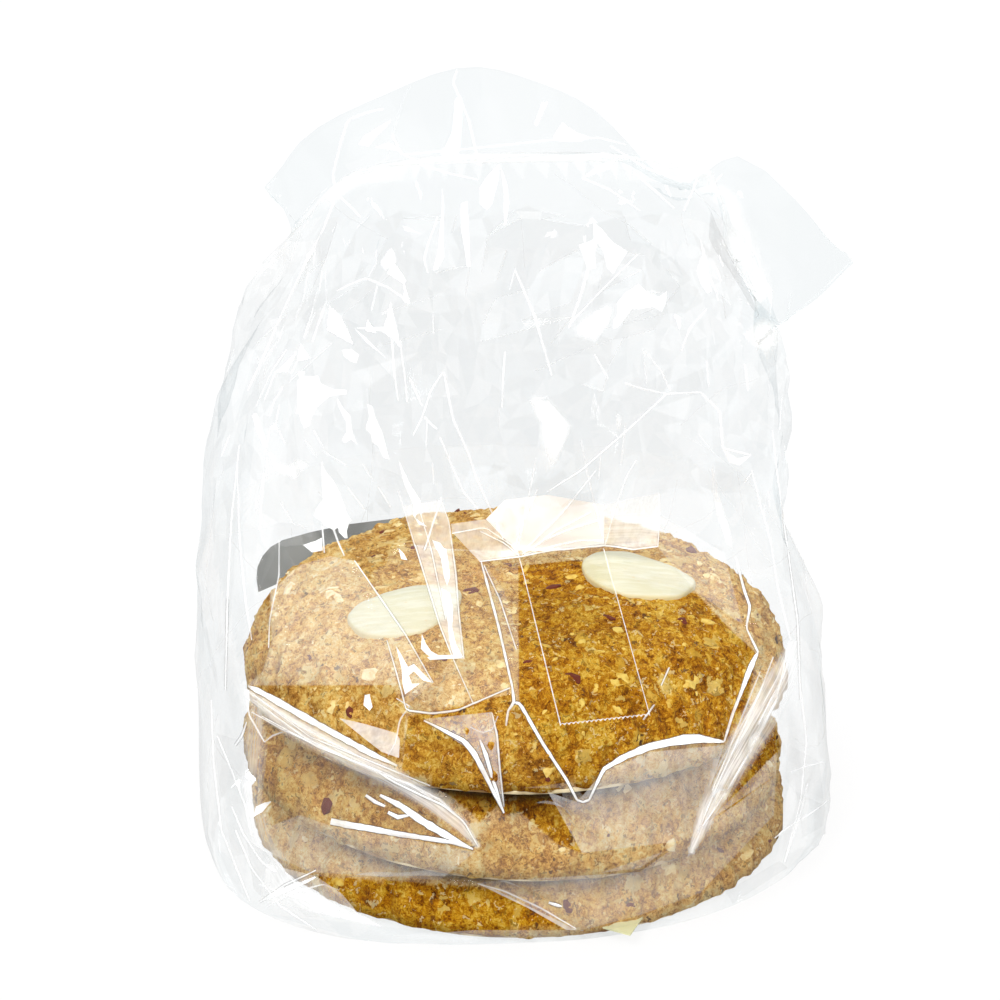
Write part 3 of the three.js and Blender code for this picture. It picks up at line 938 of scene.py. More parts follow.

# Panes of the film that stand off the stack are made milky white, each to its own degree: partly the
# film's own haze, partly a painted reflection of the bright room.
HAZE_AND_SHEEN = {
    "left_pane": (0.15, (
        (247, 685), (262, 672), (272, 640), (270, 592), (300, 565), (330, 556), (354, 561), (377, 594),
        (405, 634), (433, 683), (407, 705), (402, 685),
    )),
    "hanging_strip": (0.36, (
        (403, 506), (441, 500), (449, 522), (456, 575), (459, 615), (464, 659), (453, 659), (440, 627),
        (426, 581), (409, 526),
    )),
    "shelf_pane": (0.08, (
        (433, 683), (453, 659), (464, 659), (510, 688), (474, 703), (432, 713), (407, 710),
    )),
    "wedge_pane": (0.40, (
        (339, 718), (365, 724), (396, 733), (400, 739), (399, 758), (382, 752), (365, 739),
    )),
    "spike_pane": (0.24, ((424, 719), (492, 712), (498, 735), (504, 812), (474, 753))),
    "pleat_left": (0.40, ((451, 524), (486, 519), (514, 545), (521, 557), (480, 562), (452, 532))),
    "pleat_flap": (0.95, (
        (486, 519), (505, 500), (548, 495), (604, 505), (604, 545), (548, 551), (515, 550),
    )),
    "pleat_right": (0.42, ((604, 505), (659, 493), (658, 547), (633, 550), (604, 545))),
    "right_pane": (0.16, ((659, 514), (724, 553), (743, 625), (695, 591), (658, 548))),
    "fold_pane": (0.12, ((483, 562), (504, 590), (519, 640), (519, 702), (511, 689))),
    "left_band": (0.12, (
        (247, 689), (300, 718), (350, 745), (397, 768), (421, 783), (443, 795), (462, 813), (474, 832),
        (478, 846), (462, 834), (443, 820), (410, 795), (379, 771), (330, 750), (283, 731), (250, 716),
    )),
    "left_low": (0.17, (
        (255, 832), (300, 815), (331, 826), (402, 838), (475, 852), (440, 880), (310, 872), (262, 850),
    )),
    "left_foot": (0.26, (
        (267, 864), (316, 876), (342, 894), (358, 913), (383, 927), (354, 921), (301, 909), (260, 900),
    )),
    "left_side": (0.12, (
        (240, 700), (256, 700), (268, 742), (262, 800), (280, 850), (258, 850), (244, 790),
    )),
    "middle_front": (0.05, ((475, 850), (505, 815), (582, 853), (620, 868), (505, 875))),
    "middle_pane": (0.21, (
        (548, 792), (577, 802), (604, 771), (650, 752), (724, 745), (703, 810), (698, 839), (582, 853),
    )),
    "low_fold": (0.34, ((476, 883), (500, 885), (562, 914), (584, 931), (570, 932), (528, 908))),
    "middle_right": (0.17, ((698, 840), (720, 810), (777, 752), (776, 775), (640, 868), (600, 873))),
    "bottom_pane": (0.17, (
        (479, 882), (640, 872), (776, 776), (774, 815), (700, 893), (640, 915), (579, 931),
    )),
    "bottom_rim": (0.12, ((395, 936), (475, 930), (578, 930), (600, 938), (475, 945))),
}
SMEARS = {
    # name: how strong its painted sheen is, and columns, rows and half breadths in pixels along a fold
    # that fades aside
    "right_fold": (0.72, (
        (794, 646, 8), (781, 680, 17), (758, 722, 20), (730, 770, 17), (708, 812, 11), (691, 852, 3),
    )),
    "left_band": (0.50, (
        (249, 694, 6), (290, 724, 13), (340, 752, 13), (390, 777, 12), (432, 802, 10), (462, 826, 8),
        (478, 846, 3),
    )),
    "left_wall": (0.25, (
        (258, 700, 6), (254, 740, 12), (250, 790, 12), (262, 840, 14), (290, 890, 14), (330, 915, 8),
    )),
    "pleat_streaks": (0.35, (
        (500, 556, 4), (540, 540, 14), (590, 530, 20), (640, 528, 18), (659, 530, 6),
    )),
}
PANE_MARGIN = 12
LOW_HAZE_AND_SHEEN = 0.06
HIGH_HAZE_AND_SHEEN = 0.01
NECK_SHEEN = 0.22
NECK_BREADTH = 2.0 * MM
FLAP_CORNER = (765, 336)
CORNER_REACH = 12
STACK_TOP = 50 * MM
CALM_TOP = 58 * MM
STACK_MIDDLE = 515
STACK_REACH = 268
# How far the film's gloss is calmed over the stack, at the neck, and at the mouth and the flap.
STACK_CALM = 0.97
NECK_CALM = 0.9
LOOSE_CALM = 0.8


def cut_pane(bm, outline):
    """Cuts the film that the camera sees there along an outline, so that the pane has clean edges."""
    pixel_low, pixel_high = np.min(outline, axis=0) - PANE_MARGIN, np.max(outline, axis=0) + PANE_MARGIN
    faces = [face for face in bm.faces if face.normal.dot(Vector(camera_back)) > FACING]
    shown = pixels(np.array([face.calc_center_median() for face in faces]))
    near = np.all((shown > pixel_low) & (shown < pixel_high), axis=1)
    faces = [face for face, is_near in zip(faces, near) if is_near]
    for a, b in zip(outline, outline[1:] + outline[:1]):
        across = sight_line(*a).cross(sight_line(*b)).normalized()
        parts = {part for face in faces for part in (*face.edges, *face.verts)}
        cut = bmesh.ops.bisect_plane(
            bm, geom=faces + list(parts), dist=1e-7, plane_co=Vector(camera_place), plane_no=across,
        )
        faces = [part for part in cut["geom"] if isinstance(part, bmesh.types.BMFace)]


for _, outline in list(HAZE_AND_SHEEN.values()) + [place for place in PRESSED.values() if place[0] > TOUCHING]:
    film_bm.normal_update()
    cut_pane(film_bm, outline)
bmesh.ops.triangulate(film_bm, faces=film_bm.faces[:])
film_mesh = bpy.data.meshes.new("film_bag")
film_bm.to_mesh(film_mesh)
film_bm.free()
film_bag.data = film_mesh
film_mesh.shade_smooth()
film_mesh.set_sharp_from_angle(angle=CREASE_ANGLE)


def face_array(mesh, name):
    values = np.empty(len(mesh.polygons) * 3, dtype=np.float32)
    mesh.polygons.foreach_get(name, values)
    return values.reshape(-1, 3).astype(float)


def set_face_attribute(mesh, name, values):
    attribute = mesh.attributes.new(name, "FLOAT", "FACE")
    attribute.data.foreach_set("value", np.asarray(values, dtype=np.float32))


pane_middles = face_array(film_mesh, "center")
crisp_pane = crisp_at(pane_middles)
film_mesh.polygons.foreach_set("use_smooth", ~crisp_pane)
pane_seen = face_array(film_mesh, "normal") @ camera_back > FACING
pane_pixels = pixels(pane_middles)
pane_haze_and_sheen = np.where(pane_middles[:, 2] < STACK_TOP, LOW_HAZE_AND_SHEEN, HIGH_HAZE_AND_SHEEN)
for strength, outline in HAZE_AND_SHEEN.values():
    pane_haze_and_sheen = np.where(inside(outline, pane_pixels) & pane_seen, strength, pane_haze_and_sheen)
pane_clings = (pressed_at(pane_middles) > TOUCHING) & pane_seen & (pane_middles[:, 2] < CALM_TOP)
pane_haze_and_sheen = np.where(pane_clings & (pane_haze_and_sheen <= LOW_HAZE_AND_SHEEN), 0.0, pane_haze_and_sheen)
from_neck = along_line(pane_middles, NECK_LINE)[0]
near_neck = np.clip(1.6 - from_neck / NECK_EASE, 0, 1)
on_neck = np.clip(1.5 - from_neck / NECK_BREADTH, 0, 1)
from_corner = np.linalg.norm(pane_pixels - np.array(FLAP_CORNER), axis=1) / CORNER_REACH
on_neck = np.maximum(on_neck, np.clip(1.6 - from_corner, 0, 1) * (pane_middles[:, 2] > CRISP_FOOT))
loose_pane = ~crisp_pane & (pane_middles[:, 2] > CRISP_FOOT)
# Along the neck and at the flap's corner the film is painted whiter, a painted sheen that hides dark
# lines where many layers of film overlap.
pane_haze_and_sheen = np.maximum(pane_haze_and_sheen, NECK_SHEEN * on_neck)
set_face_attribute(film_mesh, "haze", pane_haze_and_sheen)
over_stack = pane_seen & (pane_middles[:, 2] < CALM_TOP)
over_stack &= np.abs(pane_pixels[:, 0] - STACK_MIDDLE) < STACK_REACH
pane_calm = np.maximum(NECK_CALM * on_neck, LOOSE_CALM * loose_pane)
pane_calm = np.where(over_stack, STACK_CALM, pane_calm)
set_face_attribute(film_mesh, "clings", np.where(pane_clings, 1.0, pane_calm))

# Each pane gets a painted shade, a little darker or lighter at random, for the way tilted panes mirror
# the room; near the neck they are lighter, and at the mouth and the flap greyer.
PANE_COUNT = 240
PANE_SEED = 9
NECK_FADE = 0.9
pane_draw = random.Random(PANE_SEED)
pane_seeds = np.array([pane_middles[pane_draw.randrange(len(pane_middles))] for _ in range(PANE_COUNT)])
pane_shades = np.array([pane_draw.random() for _ in range(PANE_COUNT)])
pane_stretch = np.array((1.0, 1.0, 0.45))
nearest_seed = np.argmin(
    np.linalg.norm((pane_middles[:, None, :] - pane_seeds[None, :, :]) * pane_stretch, axis=2), axis=1,
)
own_shades = np.array([pane_draw.random() for _ in pane_middles])
pane_shade = pane_shades[nearest_seed]
pane_shade = np.where(crisp_pane, 0.45 * pane_shade + 0.55 * own_shades, pane_shade)
pane_shade = np.where(loose_pane, 0.6 + 0.3 * pane_shade, pane_shade * (1 - NECK_FADE * near_neck))
set_face_attribute(film_mesh, "shade", pane_shade * (1 - NECK_FADE * on_neck))

# A fold that leans away from the stack is smeared with light, in streaks along it.
smear = np.zeros(len(film_mesh.vertices))
smear_place = np.zeros((len(film_mesh.vertices), 3))
film_seen = normal_array(film_mesh) @ camera_back > FACING
film_pixels = pixels(vertex_array(film_mesh))
for strength, way in SMEARS.values():
    for (x0, y0, half_0), (x1, y1, half_1) in zip(way, way[1:]):
        stretch = np.array((x1 - x0, y1 - y0), dtype=float)
        length = np.hypot(*stretch)
        from_start = film_pixels - np.array((x0, y0))
        share = np.clip(from_start @ stretch / length ** 2, 0, 1)
        aside = (from_start[:, 0] * stretch[1] - from_start[:, 1] * stretch[0]) / length
        away = np.linalg.norm(from_start - share[:, None] * stretch, axis=1)
        half = half_0 + (half_1 - half_0) * share
        here = strength * np.clip(1 - (away / half) ** 2, 0, 1) * film_seen
        nearer = here > smear
        smear = np.where(nearer, here, smear)
        smear_place[nearer, 0] = aside[nearer]
        smear_place[nearer, 1] = y0 + share[nearer] * (y1 - y0)
set_attribute(film_mesh, "smear", smear)
set_attribute(film_mesh, "smear_across", smear_place[:, 0])
set_attribute(film_mesh, "smear_along", smear_place[:, 1])


def film_material(name, tint, shaded_tint, mirror, roughness):
    """Clear film: it lets light straight through, mirrors a little, and is milky white where it stands
    off, partly haze and partly a painted sheen.
    """
    material, place = new_material(name)
    facing = place.node("ShaderNodeLayerWeight", {}, {"Blend": 0.5}, 1)
    graze = facing * facing * facing
    glint = (mirror + graze * 0.12) * (1 - place.attribute("clings"))
    bright = place.node("ShaderNodeBsdfTransparent", {}, {"Color": tint})
    dim = place.node("ShaderNodeBsdfTransparent", {}, {"Color": shaded_tint})
    through = place.node("ShaderNodeMixShader", {}, {0: place.attribute("shade"), 1: bright, 2: dim})
    shine = place.node("ShaderNodeBsdfGlossy", {}, {"Color": colour(1, 1, 1), "Roughness": roughness})
    clear = place.node("ShaderNodeMixShader", {}, {0: glint.clamp(), 1: through, 2: shine})
    # The milky layer is white and glows a little, so that its painted sheen stays bright in any light.
    milky_sheen = place.node("ShaderNodeBsdfPrincipled", {}, {
        "Base Color": colour(0.95, 0.95, 0.94),
        "Roughness": 0.8,
        "Specular IOR Level": 0.0,
        "Emission Color": colour(1, 1, 1),
        "Emission Strength": 0.27,
    })
    drawn = place.node("ShaderNodeMapping", {}, {"Vector": place, "Scale": (1.0, 1.0, 0.35)})
    cloud = drawn.noise(1.3 * MM, 3.0, 0.6).between(0.30, 0.70)
    across, along = place.attribute("smear_across"), place.attribute("smear_along")
    streak_place = place.node("ShaderNodeCombineXYZ", {}, {"X": across * 0.34, "Y": along * 0.012})
    streak = streak_place.noise(1.0, 3.0, 0.65).between(0.30, 0.68)
    cloudy_sheen = place.attribute("haze") * (0.82 + cloud * 0.36)
    smeared = place.attribute("smear") * (0.35 + streak * 0.65)
    sheen_share = (cloudy_sheen + smeared).clamp()
    set_surface(place, place.node("ShaderNodeMixShader", {}, {0: sheen_share, 1: clear, 2: milky_sheen}))
    return material


FILM_TINT = colour(0.994, 0.998, 0.998)
FILM_SHADED = colour(0.940, 0.955, 0.960)
film_mesh.materials.append(film_material("clear_film", FILM_TINT, FILM_SHADED, 0.08, 0.02))
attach(film_bag, "root")
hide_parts("bag")


# The folds of the bag: sharp creases painted white as highlights, with painted shade beside them over the
# stack, and painted highlights where panes of film catch the light.
# Those in front are laid where they show in the image: a crease by its way, a highlight by its outline.
CREASES = {
    # columns, rows and breadths in pixels along each crease
    "rim_left": (
        (248, 686, 1), (256, 690, 4), (274, 700, 5.5), (316, 724, 5.5), (369, 753, 5), (397, 766, 1),
    ),
    "spike_edge": ((492, 713, 0.6), (497, 735, 1.2), (500, 770, 0.8), (504, 806, 0.6)),
    "shelf": (
        (387, 641, 0.6), (402, 691, 0.8), (407, 710, 1.2), (432, 713, 1.4), (457, 710, 1.2),
        (510, 688, 0.7),
    ),
    "rim_spike": (
        (424, 720, 1), (443, 730, 2), (464, 741, 3.5), (474, 753, 4.5), (485, 774, 3.5), (504, 813, 1),
    ),
    "spike_sliver": ((480, 740, 1), (486, 755, 3), (493, 780, 2.5), (504, 813, 1)),
    "fold_upper": ((481, 562, 0.6), (486, 580, 1.4), (498, 625, 1.6), (512, 687, 1.2), (514, 702, 2)),
    "fold_inner": ((484, 566, 0.5), (500, 600, 0.8), (516, 650, 0.6)),
    "fold_branch": ((514, 702, 2), (508, 711, 1.4), (506, 726, 0.8)),
    "fold_lower": ((514, 702, 2), (520, 704, 2.2), (543, 744, 2.2), (567, 781, 1.8), (577, 800, 1.6)),
    "fold_turn": ((577, 800, 1.6), (583, 802, 1.4), (589, 800, 1.6)),
    "under_rim": (
        (589, 800, 1.4), (599, 779, 2), (604, 769, 2.6), (625, 757, 5), (650, 747, 7), (668, 743, 6),
        (684, 740, 8), (698, 739, 7), (713, 741, 3.5), (724, 742, 1.2),
    ),
    "rim_right": (
        (724, 742, 1.2), (734, 711, 2), (742, 691, 2.4), (749, 672, 4), (754, 660, 4), (758, 652, 1),
    ),
    "rim_right_upper": ((736, 558, 1), (744, 590, 1.8), (750, 607, 1.8), (746, 628, 1), (758, 652, 1.4)),
    "middle_upper": ((380, 795, 2), (400, 805, 5), (421, 820, 6.5), (443, 833, 6), (473, 849, 1)),
    "middle_lower": (
        (331, 821, 5), (350, 825, 6), (369, 828, 5), (400, 834, 4.5), (453, 842, 3), (473, 849, 1),
    ),
    "tube_upper": (
        (378, 772, 0.6), (392, 781, 1.2), (421, 795, 1.4), (443, 805, 1.2), (464, 822, 1),
        (478, 846, 0.6),
    ),
    "band_line": ((255, 696, 0.5), (310, 737, 0.7), (372, 762, 0.7), (430, 786, 0.5)),
    "band_line_low": ((262, 716, 0.5), (320, 748, 0.7), (390, 775, 0.5)),
    "splash": ((366, 795, 2), (376, 802, 3), (385, 806, 1.6)),
    "splash_low": ((388, 812, 2), (398, 817, 4), (409, 815, 1.6)),
    "low_left": ((260, 902, 0.6), (285, 885, 1.2), (316, 870, 0.8)),
    "low_glint": ((549, 902, 1.6), (558, 905, 2.4), (562, 906, 1)),
    "tape_crease": ((643, 720, 0.8), (649, 712, 1.4), (654, 705, 0.8)),
    "tape_crease_upper": ((661, 686, 0.6), (669, 668, 1)),
    "flap_foot": (
        (480, 562, 0.5), (521, 557, 0.8), (548, 551, 0.9), (605, 545, 0.9), (633, 550, 0.8),
        (658, 547, 0.5),
    ),
    "flap_side": ((658, 547, 0.5), (659, 520, 0.9), (659, 493, 0.5)),
    "flap_ray": ((480, 531, 0.5), (505, 543, 0.8), (519, 556, 0.6)),
    "flap_ray_upper": ((452, 533, 0.5), (485, 527, 0.7), (512, 545, 0.5)),
    "strip_edge": (
        (398, 490, 0.5), (409, 526, 0.8), (426, 581, 0.9), (440, 627, 0.8), (453, 659, 0.6),
        (473, 703, 0.5),
    ),
    "strip_edge_right": (
        (440, 497, 0.5), (449, 522, 0.8), (456, 575, 0.9), (459, 615, 0.8), (464, 659, 0.6),
    ),
    "strip_line": ((418, 505, 0.5), (430, 545, 0.7), (446, 620, 0.6)),
    "pane_edge": ((354, 561, 0.5), (377, 594, 0.9), (405, 634, 0.9), (433, 683, 0.5)),
    "pane_edge_left": ((279, 541, 0.5), (279, 575, 0.9), (270, 620, 0.8), (269, 648, 0.5)),
    "strip_cross": ((442, 497, 0.8), (434, 520, 2.4), (424, 551, 1)),
    "pleat_line_left": ((440, 437, 0.8), (451, 464, 2), (464, 493, 2.4), (478, 509, 1.4)),
    "pleat_line": (
        (444, 372, 1), (453, 419, 2), (469, 455, 1.8), (476, 477, 2), (489, 506, 1.4), (503, 538, 0.8),
    ),
    "pleat_tick": ((409, 377, 0.8), (414, 388, 2.4), (422, 406, 1.2)),
    "pleat_tick_low": ((424, 417, 1.6), (430, 423, 2.4), (437, 429, 0.8)),
    "pleat_thread": ((443, 372, 0.8), (431, 390, 1.6), (422, 417, 1), (413, 435, 0.7)),
    "star_down": ((666, 394, 1.4), (636, 422, 1.4), (581, 470, 1.2), (548, 491, 0.7)),
    "star_right": ((666, 394, 1.4), (700, 392, 1.2), (720, 411, 2), (723, 448, 1.8), (751, 455, 1.4)),
    "star_left": ((666, 394, 1.2), (640, 388, 1.8), (624, 383, 2)),
    "star_upper": ((645, 351, 0.8), (661, 371, 1.6), (670, 390, 1.2)),
    "star_far": ((707, 309, 0.8), (690, 328, 1.4), (681, 351, 1)),
    "mouth_left": (
        (336, 190, 1.4), (333, 175, 1.4), (340, 146, 1.4), (348, 120, 1.3), (366, 113, 1.6),
        (383, 109, 0.8),
    ),
    "mouth_middle": (
        (457, 70, 0.8), (453, 83, 1.4), (461, 101, 1.8), (469, 121, 1.4), (475, 148, 1.4),
        (480, 166, 0.8),
    ),
    "mouth_thread": ((392, 135, 0.8), (401, 153, 1.2), (424, 166, 1.2), (447, 173, 1.4), (478, 180, 0.8)),
    "neck_thread": ((404, 155, 0.6), (478, 148, 0.9), (553, 140, 0.9), (599, 138, 0.9), (626, 145, 0.6)),
    "neck_right": ((610, 146, 0.8), (633, 160, 1.4), (647, 169, 1.8), (670, 177, 1.6), (690, 182, 2.2)),
    "neck_pinch": ((697, 179, 1.4), (693, 190, 1.6), (684, 211, 1)),
    "neck_outline": ((438, 217, 0.8), (428, 244, 1.2), (424, 260, 1.2), (428, 273, 0.8)),
    "neck_side": (
        (334, 202, 1), (324, 229, 1.4), (306, 262, 1.4), (279, 320, 1.4), (264, 356, 1.2),
        (248, 391, 0.8),
    ),
    "neck_tick": ((338, 195, 0.8), (350, 206, 1.8), (360, 217, 0.8)),
    "neck_wing_low": ((582, 178, 0.8), (610, 190, 1.3), (640, 211, 0.7)),
    "neck_slant": ((633, 172, 0.7), (655, 191, 1.1), (674, 208, 0.7)),
    "shoulder_line": ((337, 291, 0.8), (351, 284, 1.2), (366, 278, 1), (389, 288, 1.2), (409, 302, 0.8)),
    "shoulder_tail": ((392, 340, 1.4), (394, 372, 1.8), (398, 400, 0.8)),
    "shoulder_tail_right": ((400, 340, 0.8), (404, 374, 1.4), (407, 402, 0.8)),
    "shard_tail": ((322, 527, 1.6), (323, 540, 1.3), (324, 553, 0.8)),
    "shard_tail_right": ((333, 529, 2.4), (338, 543, 1.8), (344, 556, 0.8)),
    "middle_line": ((505, 352, 0.6), (503, 380, 1.2), (502, 408, 0.8)),
    "middle_slant": ((515, 270, 1.4), (534, 314, 2.2), (548, 362, 1.8), (552, 376, 0.8)),
    "right_tail": ((588, 270, 3), (580, 298, 2.4), (569, 328, 0.8)),
    "right_line": ((638, 254, 0.6), (601, 291, 1.3), (571, 323, 0.6)),
    "right_tick": ((665, 185, 0.8), (668, 191, 1.8), (671, 197, 0.8)),
    "side_thread": ((240, 445, 0.5), (232, 520, 0.9), (228, 600, 0.9), (226, 690, 0.5)),
    "right_thread_outer": ((772, 430, 0.5), (783, 520, 0.8), (797, 620, 0.8), (800, 700, 0.5)),
    "left_wall_fold": ((236, 745, 1.2), (243, 735, 1.2), (247, 722, 0.7)),
}
SOFT_CREASES = {
    # the same for creases that are only rounded, not broken, with a softer painted highlight and no
    # painted shade beside them
    "wet_pane_edge": (
        (397, 698, 0.8), (410, 706, 1.6), (400, 720, 1.2), (396, 742, 1.6), (388, 756, 1.0),
    ),
    "spike_star": ((470, 727, 0.6), (482, 733, 1.2), (492, 730, 0.8), (498, 716, 0.6)),
    "right_wall": ((800, 690, 0.5), (806, 740, 0.9), (800, 800, 0.8), (784, 862, 0.5)),
    "right_wall_fold": ((830, 798, 0.7), (812, 812, 1.6), (786, 828, 1.2), (774, 838, 0.6)),
    "left_wall": ((212, 700, 0.5), (214, 760, 0.9), (222, 830, 0.9), (250, 900, 0.5)),
    "left_foot": ((236, 830, 0.6), (252, 868, 1.2), (280, 905, 1.2), (318, 930, 0.6)),
    "side_thread_inner": ((238, 470, 0.5), (240, 540, 0.9), (246, 602, 1.2), (252, 640, 0.6)),
    "right_thread": ((752, 470, 0.5), (770, 540, 0.9), (778, 590, 1.2), (790, 640, 0.6)),
    "left_pleat": ((247, 700, 1), (250, 716, 2), (258, 730, 2), (265, 742, 0.8)),
    "left_pleat_low": ((265, 742, 0.8), (272, 736, 2), (283, 732, 0.8)),
    "band_upper": ((252, 694, 0.6), (300, 727, 1.4), (360, 757, 1.6), (400, 774, 0.8)),
    "band_mid": ((254, 700, 0.6), (305, 738, 2.2), (352, 761, 2.4), (412, 786, 1.2), (452, 812, 0.6)),
    "band_tube": ((384, 775, 0.8), (410, 784, 2.0), (440, 800, 2.4), (464, 822, 1.6), (477, 844, 0.8)),
    "band_foot": ((252, 712, 0.6), (282, 729, 1.6), (332, 752, 2.0), (381, 772, 1.0)),
    "right_streak": ((773, 657, 1), (760, 692, 2.4), (738, 740, 3.0), (712, 796, 2.0), (697, 834, 0.8)),
    "right_streak_outer": (
        (786, 655, 1), (776, 700, 3.4), (752, 748, 3.2), (722, 798, 2.0), (702, 826, 0.8),
    ),
    "right_streak_inner": ((760, 672, 0.6), (744, 712, 1.6), (728, 752, 1.2), (712, 790, 0.6)),
    "fan_left": ((605, 545, 0.5), (600, 526, 0.6), (587, 472, 0.8), (581, 440, 0.5)),
    "fan_right": ((605, 545, 0.6), (616, 505, 1.4), (627, 475, 1.2), (636, 460, 0.6)),
    "fan_middle": ((522, 552, 0.3), (560, 515, 0.5), (596, 470, 0.4)),
    "fan_lower": ((522, 555, 0.3), (556, 530, 0.5), (590, 512, 0.4)),
    "fan_upper": ((518, 548, 0.3), (528, 500, 0.5), (536, 458, 0.4)),
    "between": ((478, 884, 0.6), (504, 891, 1.6), (541, 908, 2.0), (576, 928, 0.8)),
    "right_streak_upper": ((790, 652, 1), (783, 676, 2.6), (770, 700, 1.6), (758, 724, 0.8)),
    "pleat_streak": ((523, 553, 0.4), (548, 538, 1.2), (572, 528, 1.6), (598, 520, 0.8)),
    "pleat_streak_low": ((524, 555, 0.4), (556, 545, 1.2), (580, 540, 1.4), (602, 540, 0.6)),
    "pleat_streak_upper": ((516, 546, 0.4), (520, 524, 1.2), (530, 506, 1.4), (538, 488, 0.6)),
    "foot_streak": ((260, 884, 0.6), (284, 894, 1.6), (312, 902, 1.6), (340, 906, 0.6)),
    "foot_streak_low": ((268, 906, 0.6), (296, 892, 1.6), (322, 884, 1.4), (338, 890, 0.6)),
    "foot_streak_inner": ((286, 872, 0.6), (300, 888, 1.4), (322, 900, 1.2), (352, 916, 0.6)),
    "wall_streak": ((218, 736, 0.6), (232, 770, 1.4), (246, 806, 1.4), (252, 836, 0.6)),
    "wall_streak_low": ((232, 806, 0.6), (244, 834, 1.6), (262, 862, 1.4), (276, 872, 0.6)),
    "right_wall_streak": ((807, 783, 0.6), (800, 812, 1.4), (792, 838, 1.4), (784, 861, 0.6)),
    "right_wall_streak_up": ((790, 772, 0.6), (806, 766, 1.2), (823, 762, 0.6)),
}
